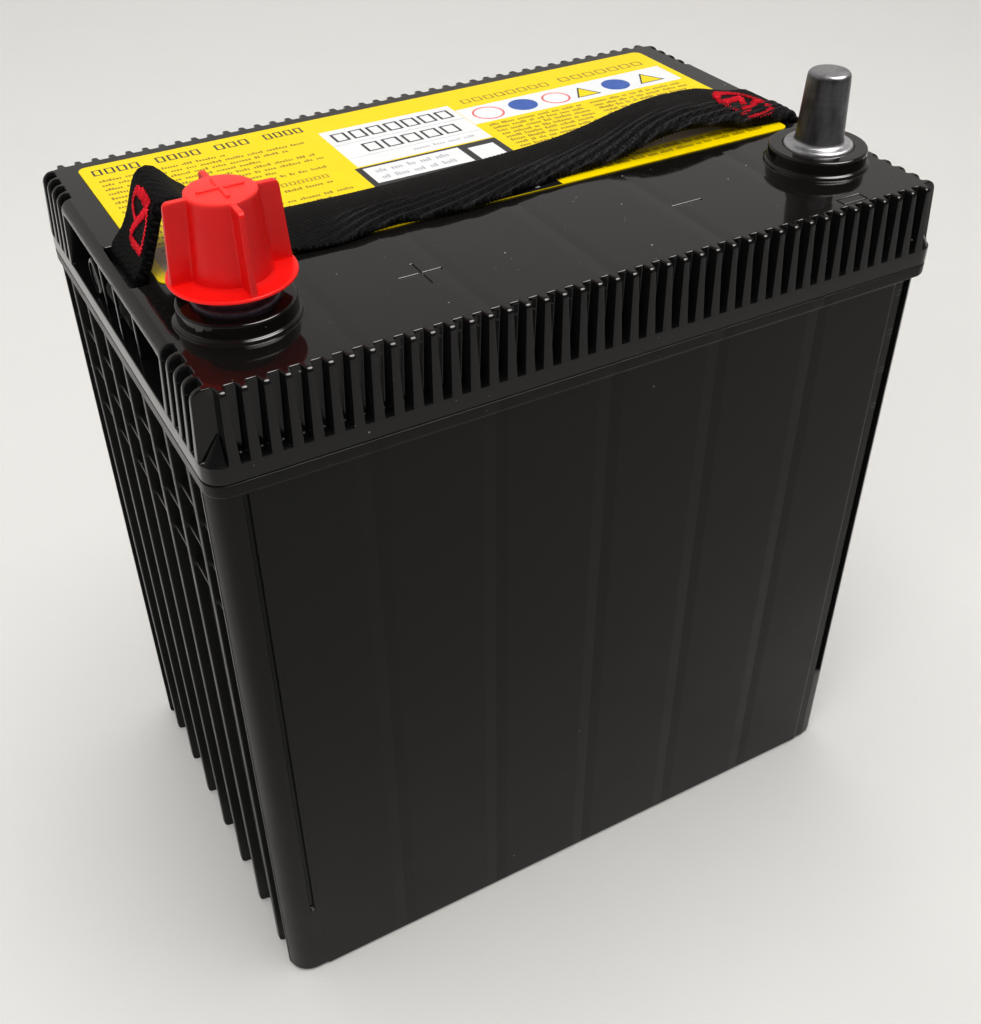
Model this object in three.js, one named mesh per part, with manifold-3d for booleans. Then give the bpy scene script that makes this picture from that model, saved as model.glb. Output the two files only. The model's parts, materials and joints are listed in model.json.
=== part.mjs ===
// Twelve-volt sealed lead-acid battery in a B20 size case: six cells in one moulded container,
// a lid with combed sides, two tapered lead posts, a red slip-on cap over the positive post and
// a webbing carry strap.
// Millimetres, +Z up. Origin: centre of the underside. +X runs along the case towards the
// negative post, -Y is the terminal side.
import * as THREE from "three";
import { mergeVertices } from "three/addons/utils/BufferGeometryUtils.js";
import Module from "manifold-3d";

const wasm = await Module();
wasm.setup();

// ---------------------------------------------------------------- shared dimensions
const HALF_LENGTH = 197 / 2; // over the lid band
const HALF_WIDTH = 129 / 2;
const LID_TOP = 203;
const POST_TOP = 227;
const BAND_R = 5; // corner radius of the bands on container and lid
const CONTAINER_TOP = 181.7;
const SIDES = [-1, 1];

// cutters run this far past the case
const OUT_X = HALF_LENGTH + 3;
const OUT_Y = HALF_WIDTH + 3;
const ABOVE_LID = LID_TOP + 1;

// cells
const CELLS = 6;
const PARTITION_T = 1.8;
const CAVITY_HALF_X = 92.4;
const CAVITY_HALF_Y = 60.2;
const CELL_W = (2 * CAVITY_HALF_X - (CELLS - 1) * PARTITION_T) / CELLS;
const CELL_PITCH = CELL_W + PARTITION_T;
const cellX = (cell) => (cell - (CELLS - 1) / 2) * CELL_PITCH;
const partitionX = (cell) => cellX(cell) + CELL_PITCH / 2;

// cell-to-cell welds, on alternate sides from one partition to the next
const LUG_Y = 36;
const WELD_Z = 166;
const WELD_R = 4.6;
const linkSide = (cell) => (cell % 2 === 0 ? 1 : -1);

// valve trough and exhaust port
const TROUGH = { x0: -86, x1: 86, y0: 15, y1: 41, floor: 191.2, under: 188.8 };
const VALVE_Y = (TROUGH.y0 + TROUGH.y1) / 2;
const COVER_Z0 = 201.4;
const PORT_Y = 18.3;
const PORT_Z = 191.9;

// terminals
const POST_Y = -36;
const POSITIVE = { x: -78.5, bossR: 13, collarR: 9.6, shankR: 8.2, baseR: 7.45, topR: 6.35 };
const NEGATIVE = { x: 79.5, bossR: 12.6, collarR: 8.3, shankR: 7.0, baseR: 6.3, topR: 5.4 };
const BOSS_TOP = 207.5;

// strap webbing and the lid bars it loops round
const WEB_Y = [-12, 8];
const ANCHOR_X = 93;
const ANCHOR_Z = 193.2;
const ANCHOR_R = 1.8;

// ---------------------------------------------------------------- helpers
// closed Manifold solid from a three.js geometry
function solid(geometry) {
  geometry.deleteAttribute("normal");
  geometry.deleteAttribute("uv");
  const merged = mergeVertices(geometry, 1e-4);
  const index = merged.index.array;
  const triangles = [];
  for (let i = 0; i < index.length; i += 3) {
    const [a, b, c] = index.subarray(i, i + 3);
    if (a !== b && b !== c && a !== c) triangles.push(a, b, c);
  }
  const make = () =>
    new wasm.Manifold(
      new wasm.Mesh({
        numProp: 3,
        vertProperties: new Float32Array(merged.attributes.position.array),
        triVerts: new Uint32Array(triangles),
      }),
    );
  const result = make();
  if (result.volume() >= 0) return result;
  // inside out: turn every triangle over
  for (let i = 0; i < triangles.length; i += 3)
    [triangles[i], triangles[i + 1]] = [triangles[i + 1], triangles[i]];
  return make();
}

const group = new THREE.Group();

function addMesh(name, shape, material) {
  const data = shape.asOriginal().simplify(2e-3).getMesh();
  const geometry = new THREE.BufferGeometry();
  const positions = new Float32Array(data.vertProperties);
  geometry.setAttribute("position", new THREE.BufferAttribute(positions, 3));
  geometry.setIndex(new THREE.BufferAttribute(new Uint32Array(data.triVerts), 1));
  geometry.computeVertexNormals();
  const mesh = new THREE.Mesh(geometry, material);
  mesh.name = name;
  group.add(mesh);
}

// box between opposite corners, each pair in either order
function box(x0, x1, y0, y1, z0, z1) {
  const geometry = new THREE.BoxGeometry(Math.abs(x1 - x0), Math.abs(y1 - y0), Math.abs(z1 - z0));
  geometry.translate((x0 + x1) / 2, (y0 + y1) / 2, (z0 + z1) / 2);
  return solid(geometry);
}

// upright cone or cylinder between two heights
function cone(x, y, bottomR, topR, z0, z1, segments = 32) {
  const geometry = new THREE.CylinderGeometry(topR, bottomR, z1 - z0, segments);
  geometry.rotateX(Math.PI / 2);
  geometry.translate(x, y, (z0 + z1) / 2);
  return solid(geometry);
}

const disc = (x, y, radius, z0, z1, segments) => cone(x, y, radius, radius, z0, z1, segments);

// cylinders along the horizontal axes
function barX(x0, x1, y, z, radius, segments) {
  const geometry = new THREE.CylinderGeometry(radius, radius, x1 - x0, segments);
  geometry.rotateZ(Math.PI / 2);
  geometry.translate((x0 + x1) / 2, y, z);
  return solid(geometry);
}

function barY(y0, y1, x, z, radius, segments) {
  const geometry = new THREE.CylinderGeometry(radius, radius, y1 - y0, segments);
  geometry.translate(x, (y0 + y1) / 2, z);
  return solid(geometry);
}

const toVectors = (points) => points.map(([a, b]) => new THREE.Vector2(a, b));

// solid of revolution about a vertical axis, profile as [radius, height]
function lathe(profile, x, y, segments) {
  const geometry = new THREE.LatheGeometry(toVectors(profile), segments);
  geometry.rotateX(Math.PI / 2);
  geometry.translate(x, y, 0);
  return solid(geometry);
}

function roundedRect(halfX, halfY, r) {
  const shape = new THREE.Shape();
  shape.moveTo(-halfX + r, -halfY);
  shape.lineTo(halfX - r, -halfY);
  shape.absarc(halfX - r, -halfY + r, r, -Math.PI / 2, 0, false);
  shape.lineTo(halfX, halfY - r);
  shape.absarc(halfX - r, halfY - r, r, 0, Math.PI / 2, false);
  shape.lineTo(-halfX + r, halfY);
  shape.absarc(-halfX + r, halfY - r, r, Math.PI / 2, Math.PI, false);
  shape.lineTo(-halfX, -halfY + r);
  shape.absarc(-halfX + r, -halfY + r, r, Math.PI, 1.5 * Math.PI, false);
  return shape;
}

// geometry of a rounded rectangular slab, bevelled inwards at top and bottom
function slab({ halfX, halfY, radius, z0, z1, bevel = 0, segments = 4 }) {
  const geometry = new THREE.ExtrudeGeometry(roundedRect(halfX, halfY, radius), {
    depth: z1 - z0 - 2 * bevel,
    bevelEnabled: bevel > 0,
    bevelThickness: bevel,
    bevelSize: bevel,
    bevelOffset: -bevel,
    bevelSegments: 2,
    curveSegments: segments,
  });
  geometry.translate(0, 0, z0 + bevel);
  return geometry;
}

// band the full length and width of the case
const band = (z0, z1) =>
  solid(slab({ halfX: HALF_LENGTH, halfY: HALF_WIDTH, radius: BAND_R, z0, z1 }));

const extrude = (points, depth, steps = 1) =>
  new THREE.ExtrudeGeometry(new THREE.Shape(toVectors(points)), {
    depth,
    steps,
    bevelEnabled: false,
  });

// [x, z] outline carried along Y
function prismY(points, y0, y1) {
  const geometry = extrude(points, y1 - y0);
  geometry.rotateX(Math.PI / 2); // shape y becomes z, extrusion runs towards -y
  geometry.translate(0, y1, 0);
  return solid(geometry);
}

// [y, z] outline carried along X, as geometry
function prismXGeometry(points, x0, x1, steps) {
  const geometry = extrude(points, x1 - x0, steps);
  const [xAxis, yAxis, zAxis] = [
    new THREE.Vector3(1, 0, 0),
    new THREE.Vector3(0, 1, 0),
    new THREE.Vector3(0, 0, 1),
  ];
  geometry.applyMatrix4(new THREE.Matrix4().makeBasis(yAxis, zAxis, xAxis));
  geometry.translate(x0, 0, 0);
  return geometry;
}

const prismX = (points, x0, x1) => solid(prismXGeometry(points, x0, x1));

// ---------------------------------------------------------------- materials
const paint = ({ color, roughness, metalness = 0 }) =>
  new THREE.MeshStandardMaterial({ color, roughness, metalness });
const caseBlack = paint({ color: 0x141416, roughness: 0.42 });
const lidBlack = paint({ color: 0x17171a, roughness: 0.16 });
const labelYellow = paint({ color: 0xf6d800, roughness: 0.35 });
const capRed = paint({ color: 0xd8140f, roughness: 0.38 });
const leadGrey = paint({ color: 0x77787c, roughness: 0.45, metalness: 0.85 });
const strapBlack = paint({ color: 0x0c0c0d, roughness: 0.85 });
const rubberBlack = paint({ color: 0x1c1c1c, roughness: 0.8 });
const positivePaste = paint({ color: 0x5a3a2a, roughness: 0.9 });
const negativePaste = paint({ color: 0x8b9096, roughness: 0.75, metalness: 0.3 });
const matWhite = paint({ color: 0xe8e6df, roughness: 0.95 });
const filterWhite = paint({ color: 0xd9d7cf, roughness: 0.9 });

// ---------------------------------------------------------------- container
const BODY = { halfX: 98.1, halfY: 63.2, radius: 7, bevel: 1.2 };
const FLANGE_Z0 = 178.7;
const FLOOR_T = 4;
const END_RIBS = { count: 7, pitch: 16, half: 1.1 };
const CROSS_RIBS = { count: 4, z0: 139, pitch: 11.8, half: 0.6 };
const CORNER_POST_Y = 57; // inner edge of the plain strip at each corner
const CROSS_RIB_FACE_X = 97.1;
const END_FLOOR_X = 95.2;
const NARROW_GROOVE = { x: [-91, -89.8], depth: 0.9, z0: 29, z1: 177 };
const WIDE_GROOVE = { x: [91.2, 94], depth: 1.6, z0: 31, z1: FLANGE_Z0 };

// the gaps left between ribs, as [start, end] pairs
function gapsBetween(start, centres, half, end) {
  const starts = [start, ...centres.map((centre) => centre + half)];
  const ends = [...centres.map((centre) => centre - half), end];
  return starts.map((gapStart, i) => [gapStart, ends[i]]);
}

const series = (count, at) => Array.from({ length: count }, (_, i) => at(i));

function makeContainer() {
  let body = solid(slab({ ...BODY, z0: 0, z1: FLANGE_Z0 + 2 }));
  body = body.add(band(FLANGE_Z0, CONTAINER_TOP));
  for (let k = 0; k < CELLS; k++) {
    const x = cellX(k);
    const [x0, x1] = [x - CELL_W / 2, x + CELL_W / 2];
    body = body.subtract(
      box(x0, x1, -CAVITY_HALF_Y, CAVITY_HALF_Y, FLOOR_T, CONTAINER_TOP + 5),
    );
  }
  // egg-crate end faces: upright ribs full depth, cross ribs set back a little
  const uprights = series(END_RIBS.count, (i) => (i - (END_RIBS.count - 1) / 2) * END_RIBS.pitch);
  const crossings = series(CROSS_RIBS.count, (i) => CROSS_RIBS.z0 + i * CROSS_RIBS.pitch);
  const columns = gapsBetween(-CORNER_POST_Y, uprights, END_RIBS.half, CORNER_POST_Y);
  const rows = gapsBetween(-2, crossings, CROSS_RIBS.half, FLANGE_Z0);
  for (const side of SIDES)
    for (const [y0, y1] of columns) {
      body = body.subtract(box(side * CROSS_RIB_FACE_X, side * OUT_X, y0, y1, -2, FLANGE_Z0));
      for (const [z0, z1] of rows)
        body = body.subtract(box(side * END_FLOOR_X, side * OUT_X, y0, y1, z0, z1));
    }
  // upright grooves in the long faces; the +Y face is the -Y face turned half round
  for (const side of SIDES)
    for (const { x, depth, z0, z1 } of [NARROW_GROOVE, WIDE_GROOVE]) {
      const [y0, y1] = [side * (BODY.halfY - depth), side * (BODY.halfY + 3)];
      body = body.subtract(box(-side * x[0], -side * x[1], y0, y1, z0, z1));
    }
  // holes the cell-to-cell welds pass through
  for (let k = 0; k < CELLS - 1; k++) {
    const x = partitionX(k);
    body = body.subtract(barX(x - 2, x + 2, linkSide(k) * LUG_Y, WELD_Z, WELD_R + 0.3, 20));
  }
  return body;
}

// ---------------------------------------------------------------- lid
const LID_BOTTOM = 182;
const BAND_TOP = 186.5;
const ENVELOPE_HALF_X = 98;
const NOSE = 2.4; // bevel at the top edge
const DRAFT = 1.0; // how far the walls lean in by the lid top
const PLATE_UNDER = 199.6;

// ribs are tapered, wider at the bottom
const LONG_COMB = { count: 41, pitch: 4.6, bottomW: 2.6, topW: 1.4 };
const CORNER_COMB = { count: 5, y0: 39.8, pitch: 4.95, bottomW: 2.2, topW: 1.3 };
const WALL_X = 94.4; // wall behind the corner combs
const WALL_Y = 60.9; // wall behind the long combs

const POCKET = { halfY: 39.5, back: 88.5, floor: 187, dividerFace: 96.8 };
const DIVIDER_Y = [-15.6, 11.6];
const DIVIDER_HALF = 0.6;
const SLOT_HALF_X = 2.2;

function lidShell() {
  const envelope = slab({
    halfX: ENVELOPE_HALF_X,
    halfY: HALF_WIDTH,
    radius: BAND_R,
    z0: BAND_TOP - 4,
    z1: LID_TOP,
    bevel: NOSE,
    segments: 3,
  });
  // side walls lean in towards the top
  const position = envelope.attributes.position;
  for (let i = 0; i < position.count; i++) {
    const rise = Math.max(0, position.getZ(i) - BAND_TOP);
    const lean = (DRAFT * rise) / (LID_TOP - BAND_TOP);
    position.setX(i, position.getX(i) * (1 - lean / HALF_LENGTH));
    position.setY(i, position.getY(i) * (1 - lean / HALF_WIDTH));
  }
  return solid(envelope)
    .add(band(LID_BOTTOM, BAND_TOP))
    .subtract(
      box(-CAVITY_HALF_X, CAVITY_HALF_X, -CAVITY_HALF_Y, CAVITY_HALF_Y, LID_BOTTOM - 6, 185.5),
    )
    .subtract(box(-85.5, 85.5, -58, 58, 185, PLATE_UNDER));
}

// outline of the gap between two neighbouring ribs, as [place along the wall, z]
const gapOutline = (ribA, ribB, { bottomW, topW }, sign = 1) => [
  [sign * (ribA + bottomW / 2), BAND_TOP],
  [sign * (ribB - bottomW / 2), BAND_TOP],
  [sign * (ribB - topW / 2), ABOVE_LID],
  [sign * (ribA + topW / 2), ABOVE_LID],
];

function cutLongComb(lid, side) {
  const [y0, y1] = side < 0 ? [-OUT_Y, -WALL_Y] : [WALL_Y, OUT_Y];
  const ribX = (i) => (i - (LONG_COMB.count - 1) / 2) * LONG_COMB.pitch;
  for (let i = 0; i < LONG_COMB.count - 1; i++)
    lid = lid.subtract(prismY(gapOutline(ribX(i), ribX(i + 1), LONG_COMB), y0, y1));
  return lid;
}

// short comb on the end face, and a square notch at the corner with a small cone standing in it
function shapeCorner(lid, sideX, sideY) {
  const [x0, x1] = sideX < 0 ? [-OUT_X, -WALL_X] : [WALL_X, OUT_X];
  const ribY = (i) => CORNER_COMB.y0 + i * CORNER_COMB.pitch;
  for (let i = 0; i < CORNER_COMB.count - 1; i++)
    lid = lid.subtract(prismX(gapOutline(ribY(i), ribY(i + 1), CORNER_COMB, sideY), x0, x1));

  const x = sideX * WALL_X;
  const y = sideY * WALL_Y;
  const outerX = sideX * (HALF_LENGTH - 0.2);
  const outerY = sideY * (HALF_WIDTH - 0.2);
  const coneZ0 = BAND_TOP - 0.5;
  const cornerCone = cone(x, y, 3.4, 0.35, coneZ0, BAND_TOP + 6, 16).intersect(
    box(x - sideX, outerX, y - sideY, outerY, coneZ0, BAND_TOP + 7),
  );
  return lid
    .subtract(box(x, sideX * OUT_X, y, sideY * OUT_Y, BAND_TOP, ABOVE_LID))
    .add(cornerCone);
}

// pocket under the plate edge in three bays, with the strap bar and the slot above it
function cutEndPocket(lid, side) {
  const cut = (y0, y1, inner) =>
    box(side * inner, side * OUT_X, y0, y1, POCKET.floor, PLATE_UNDER);
  for (const [y0, y1] of gapsBetween(-POCKET.halfY, DIVIDER_Y, DIVIDER_HALF, POCKET.halfY))
    lid = lid.subtract(cut(y0, y1, POCKET.back));
  const x = side * ANCHOR_X;
  const [barStart, barEnd] = [DIVIDER_Y[0] - 0.2, DIVIDER_Y[1] + 0.2];
  const slotY = [WEB_Y[0] - 1, WEB_Y[1] + 1];
  return lid
    .subtract(cut(-POCKET.halfY, POCKET.halfY, POCKET.dividerFace))
    .add(barY(barStart, barEnd, x, ANCHOR_Z, ANCHOR_R, 16))
    .subtract(box(x - SLOT_HALF_X, x + SLOT_HALF_X, ...slotY, PLATE_UNDER - 1, ABOVE_LID));
}

// box over the trough's plan, grown on all four sides
const troughBox = (grow, z0, z1) =>
  box(TROUGH.x0 - grow, TROUGH.x1 + grow, TROUGH.y0 - grow, TROUGH.y1 + grow, z0, z1);

// valve trough under the label, with one chimney per cell
function addTrough(lid) {
  const { floor, under } = TROUGH;
  lid = lid
    .add(troughBox(2, under, PLATE_UNDER + 1))
    .subtract(troughBox(0, floor, ABOVE_LID))
    .subtract(troughBox(0.8, COVER_Z0, ABOVE_LID));
  for (let k = 0; k < CELLS; k++) {
    lid = lid.add(disc(cellX(k), VALVE_Y, 5.2, floor - 1, 197.4, 20));
    lid = lid.subtract(disc(cellX(k), VALVE_Y, 3, under - 2, 198, 16));
  }
  return lid;
}

// exhaust port at the positive end: tube, bore and the seat of the flame arrestor
const addExhaustPort = (lid) =>
  lid
    .add(barX(-96.9, -88, PORT_Y, PORT_Z, 4.6, 24))
    .subtract(barX(-98, -84, PORT_Y, PORT_Z, 2.1, 16))
    .subtract(barX(-98, -94.4, PORT_Y, PORT_Z, 3.7, 20));

// round boss that carries a lead post
function addBoss(lid, { x, bossR, collarR, shankR }) {
  const ring = (radius, z0, z1) => disc(x, POST_Y, radius, z0, z1);
  return lid
    .add(ring(bossR, LID_TOP - 1, BOSS_TOP))
    .add(ring(bossR + 0.7, LID_TOP - 1, LID_TOP + 0.9))
    .add(ring(shankR + 3, 192.5, LID_TOP))
    .subtract(ring(shankR + 0.3, 190, BOSS_TOP + 1))
    .subtract(ring(collarR + 0.3, BOSS_TOP - 1, BOSS_TOP + 1));
}

function makeLid() {
  let lid = lidShell();
  for (const side of SIDES) lid = cutLongComb(lid, side);
  for (const sideX of SIDES) {
    for (const sideY of SIDES) lid = shapeCorner(lid, sideX, sideY);
    lid = cutEndPocket(lid, sideX);
  }
  lid = addExhaustPort(addTrough(lid));
  return addBoss(addBoss(lid, POSITIVE), NEGATIVE);
}

// ---------------------------------------------------------------- valves, port filter and label
// half section of a rubber valve cap, [radius, z]
const VALVE_PROFILE = [
  [0, 197.8], [5.5, 197.8], [5.5, 192.6], [7.2, 192.6], [7.2, 193.6],
  [6.6, 194.2], [6.6, 198.9], [6.0, 199.6], [0, 199.6],
];

// cover with a short ring that keeps each valve from being blown off its chimney
function makeValveCover() {
  let cover = troughBox(0.5, COVER_Z0 + 0.1, LID_TOP);
  for (let k = 0; k < CELLS; k++) {
    const ring = disc(cellX(k), VALVE_Y, 4.4, 200.5, COVER_Z0 + 0.5, 20);
    const hole = disc(cellX(k), VALVE_Y, 3.2, 200, COVER_Z0 + 0.1, 20);
    cover = cover.add(ring.subtract(hole));
  }
  return cover;
}

const makeValve = (cell) => lathe(VALVE_PROFILE, cellX(cell), VALVE_Y, 16);
const makeArrestor = () => barX(-96.6, -94.7, PORT_Y, PORT_Z, 3.4, 20);
const makeLabel = () => box(-89, 88, -15.5, 56.8, LID_TOP + 0.05, LID_TOP + 0.3);

// ---------------------------------------------------------------- cell elements
const PLATE = { thickness: 1.6, pitch: 3.05, halfY: 56.5, z0: 8, z1: 150 };
const POSITIVE_PLATES = [-3, -1, 1, 3]; // places in the stack, in plate pitches
const NEGATIVE_PLATES = [-4, -2, 0, 2, 4];
const LUG_HALF_Y = 6;
const STRAP = { halfY: 6.5, z0: 158, z1: 163, positiveEnd: 10.2, negativeEnd: 13.1 };
const TAB_T = 2;
const TAB_TOP = WELD_Z + 6;
const TAB_X = CELL_W / 2 - 0.45; // outer face of a weld tab, from the cell centre
const MAT = { half: 0.425, reach: PLATE.halfY + 1.15, runs: 8, z0: 6, height: PLATE.z1 - 3 };

// plates of one polarity, their lugs and the lead strap that joins them; strap and tab are
// [x0, x1] from the cell centre, and the tab is left out where a pillar takes the current
function makePlates(cell, side, places, strap, tab) {
  const centre = cellX(cell);
  const lugBox = ([x0, x1], halfY, z0, z1) =>
    box(centre + x0, centre + x1, side * (LUG_Y - halfY), side * (LUG_Y + halfY), z0, z1);
  let plates = lugBox(strap, STRAP.halfY, STRAP.z0, STRAP.z1);
  for (const place of places) {
    const offset = place * PLATE.pitch;
    const span = [offset - PLATE.thickness / 2, offset + PLATE.thickness / 2];
    const [x0, x1] = span.map((x) => centre + x);
    plates = plates.add(box(x0, x1, -PLATE.halfY, PLATE.halfY, PLATE.z0, PLATE.z1));
    plates = plates.add(lugBox(span, LUG_HALF_Y, PLATE.z1 - 2, STRAP.z0 + 1));
  }
  return tab ? plates.add(lugBox(tab, STRAP.halfY, STRAP.z0, TAB_TOP)) : plates;
}

function makePositivePlates(cell) {
  const end = STRAP.positiveEnd;
  const side = -linkSide(cell);
  if (cell === 0) return makePlates(cell, side, POSITIVE_PLATES, [-end, end]);
  return makePlates(cell, side, POSITIVE_PLATES, [-TAB_X, end], [-TAB_X, -TAB_X + TAB_T]);
}

function makeNegativePlates(cell) {
  const end = STRAP.negativeEnd;
  const side = linkSide(cell);
  if (cell === CELLS - 1) return makePlates(cell, side, NEGATIVE_PLATES, [-end, end]);
  return makePlates(cell, side, NEGATIVE_PLATES, [-end, TAB_X], [TAB_X - TAB_T, TAB_X]);
}

// one side of a square-cornered path: adding both neighbouring normals gives the corner
function offsetPath(path, distance) {
  const normal = (a, b) => {
    if (!a || !b) return [0, 0];
    const length = Math.hypot(b[0] - a[0], b[1] - a[1]);
    return [-(b[1] - a[1]) / length, (b[0] - a[0]) / length];
  };
  return path.map((point, i) => {
    const before = normal(path[i - 1], point);
    const after = normal(point, path[i + 1]);
    return [
      point[0] + distance * (before[0] + after[0]),
      point[1] + distance * (before[1] + after[1]),
    ];
  });
}

// one folded glass-mat sheet that snakes between all the plates of the cell
function makeSeparator(cell) {
  const turn = MAT.reach - MAT.half;
  const last = MAT.runs - 1;
  const path = [];
  for (let j = 0; j <= last; j++) {
    const x = cellX(cell) + (j - last / 2) * PLATE.pitch;
    const up = j % 2 === 0 ? 1 : -1;
    path.push([x, j === 0 ? -MAT.reach : -up * turn]);
    path.push([x, j === last ? -MAT.reach : up * turn]);
  }
  const outline = [...offsetPath(path, MAT.half), ...offsetPath(path, -MAT.half).reverse()];
  const geometry = extrude(outline, MAT.height);
  geometry.translate(0, 0, MAT.z0);
  return solid(geometry);
}

function makeWeld(cell) {
  const half = PARTITION_T / 2 + 0.15;
  const x = partitionX(cell);
  return barX(x - half, x + half, linkSide(cell) * LUG_Y, WELD_Z, WELD_R, 20);
}

// ---------------------------------------------------------------- terminals
const COLLAR_TOP = 208.3;
const COLLAR_UNDER = BOSS_TOP - 0.7;
const PILLAR_R = 4.2;

// hollow lead post, open at the bottom, with a groove round the shank
function makePost({ x, collarR, shankR, baseR, topR }) {
  const bore = PILLAR_R + 0.3;
  const profile = [
    [0, 221], [bore, 221], [bore, 191.5],
    [shankR - 0.6, 191.5], [shankR, 192.1], [shankR, 195.5],
    [shankR - 0.9, 196], [shankR - 0.9, 197.2], [shankR, 197.7],
    [shankR, COLLAR_UNDER], [collarR, COLLAR_UNDER],
    [collarR, COLLAR_TOP - 0.4], [collarR - 0.4, COLLAR_TOP],
    [baseR, COLLAR_TOP + 0.1], [topR, POST_TOP - 1.1],
    [topR - 0.35, POST_TOP - 0.35], [topR - 1.1, POST_TOP], [0, POST_TOP],
  ];
  return lathe(profile, x, POST_Y, 24);
}

// lead pillar with a flared foot, rising from just above the plate strap into the post
function makePillar({ x }) {
  const foot = cone(x, POST_Y, PILLAR_R + 1.6, PILLAR_R, STRAP.z1 + 0.3, STRAP.z1 + 3, 24);
  return foot.add(disc(x, POST_Y, PILLAR_R, STRAP.z1 + 2, 220.7, 24));
}

// ---------------------------------------------------------------- slip-on cap
const CAP = { flangeR: 13.8, z0: 212.3, z1: 231.2, boreTop: 227.8 };
const WING_HALF_T = 0.75;
const CROSS = { half: 5, halfT: 0.45 }; // raised cross on the cap top

// half section, [radius, z]
const CAP_PROFILE = [
  [0, CAP.z0], [CAP.flangeR, CAP.z0], [CAP.flangeR, CAP.z0 + 0.9], [8.55, CAP.z0 + 1.1],
  [7.4, CAP.z1 - 0.5], [7.1, CAP.z1], [0, CAP.z1 + 0.4],
];
// one of the four upright wings, [distance from the axis, z]
const WING_OUTLINE = [
  [6, CAP.z0 + 0.4], [13.3, CAP.z0 + 0.4], [12.1, CAP.z1 - 1.4],
  [11.7, CAP.z1 - 0.5], [10.9, CAP.z1 - 0.1], [6, CAP.z1 - 0.1],
];

function makeCap() {
  const { x } = POSITIVE;
  const y = POST_Y;
  let cap = lathe(CAP_PROFILE, x, y, 40);
  for (const side of SIDES) {
    const wingFrom = (centre) => WING_OUTLINE.map(([r, z]) => [centre + side * r, z]);
    cap = cap.add(prismY(wingFrom(x), y - WING_HALF_T, y + WING_HALF_T));
    cap = cap.add(prismX(wingFrom(y), x - WING_HALF_T, x + WING_HALF_T));
  }
  const crossBar = (halfX, halfY) =>
    box(x - halfX, x + halfX, y - halfY, y + halfY, CAP.z1 - 0.5, CAP.z1 + 0.8);
  return cap
    .add(crossBar(CROSS.half, CROSS.halfT))
    .add(crossBar(CROSS.halfT, CROSS.half))
    .subtract(cone(x, y, 7.55, 6.75, CAP.z0 - 0.1, CAP.boreTop, 32));
}

// ---------------------------------------------------------------- carry strap
const WEB_T = 2;
const GRIP_X = [-63.3, 67.6];
const GRIP_STEPS = 24;

// centre lines of the end pieces, [x, z]; the left one stands up in a fold behind the cap
const LEFT_END = [
  [-92.8, 196.2], [-92.6, 200], [-92, 203.2], [-89.8, 207.2], [-88.1, 211.6],
  [-86.2, 216.8], [-84.4, 219.4], [-82.2, 220.1], [-79.4, 218.4], [-75, 214.4],
  [-70.5, 210.4], [-67, 207.4], [-64, 206],
];
const RIGHT_END = [
  [68, 208.2], [76, 206.9], [84, 205.3], [89.5, 204.9], [92.4, 203.2], [93, 200], [93, 196.2],
];
// cross-section of the grip, crowned across its width, [y, z] from its lower -Y edge
const GRIP_SECTION = [[0, 0], [8.6, 2.4], [20.6, 1.1], [20.8, 2.9], [8.6, 4.3], [-0.2, 1.8]];
// height of the grip along its length, [x, z]
const GRIP_HEIGHT = [
  [-70, 204.6], [-62, 203.8], [-50, 203.6], [17, 203.6], [27, 203.8],
  [35, 204.4], [45, 206.6], [54.5, 207.4], [64, 206.6], [70, 205.6],
];
// sideways drift of the grip along its length, [x, y]
const GRIP_DRIFT = [
  [-70, -13], [-62, -14.6], [-53, -16.2], [-13, -16.4],
  [0, -15.4], [17, -12.9], [45, -12], [70, -11.6],
];

// band of constant thickness following a smooth [x, z] line
function webbing(points, samples) {
  const curve = new THREE.CatmullRomCurve3(points.map(([x, z]) => new THREE.Vector3(x, 0, z)));
  const left = [];
  const right = [];
  for (let i = 0; i <= samples; i++) {
    const point = curve.getPoint(i / samples);
    const tangent = curve.getTangent(i / samples);
    const normal = new THREE.Vector2(-tangent.z, tangent.x);
    normal.normalize().multiplyScalar(WEB_T / 2);
    left.push([point.x + normal.x, point.z + normal.y]);
    right.push([point.x - normal.x, point.z - normal.y]);
  }
  return prismY([...left, ...right.reverse()], ...WEB_Y);
}

// sleeve of webbing round the lid bar
function strapLoop(side) {
  const x = side * ANCHOR_X;
  const bore = barY(WEB_Y[0] - 1, WEB_Y[1] + 1, x, ANCHOR_Z, ANCHOR_R + 0.4, 24);
  return barY(...WEB_Y, x, ANCHOR_Z, ANCHOR_R + 2, 24).subtract(bore);
}

// reads a smooth line at a given x, found by halving the curve parameter's range
function lineReader(points) {
  const curve = new THREE.SplineCurve(toVectors(points));
  return (x) => {
    let [low, high] = [0, 1];
    for (let i = 0; i < 30; i++) {
      const middle = (low + high) / 2;
      if (curve.getPoint(middle).x < x) low = middle;
      else high = middle;
    }
    return curve.getPoint((low + high) / 2).y;
  };
}

// the middle lies along the lid and arches up near the negative post
function makeGrip() {
  const heightAt = lineReader(GRIP_HEIGHT);
  const driftAt = lineReader(GRIP_DRIFT);
  const geometry = prismXGeometry(GRIP_SECTION, ...GRIP_X, GRIP_STEPS);
  const position = geometry.attributes.position;
  for (let i = 0; i < position.count; i++) {
    const x = position.getX(i);
    position.setY(i, position.getY(i) + driftAt(x));
    position.setZ(i, position.getZ(i) + heightAt(x));
  }
  return solid(geometry);
}

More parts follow.
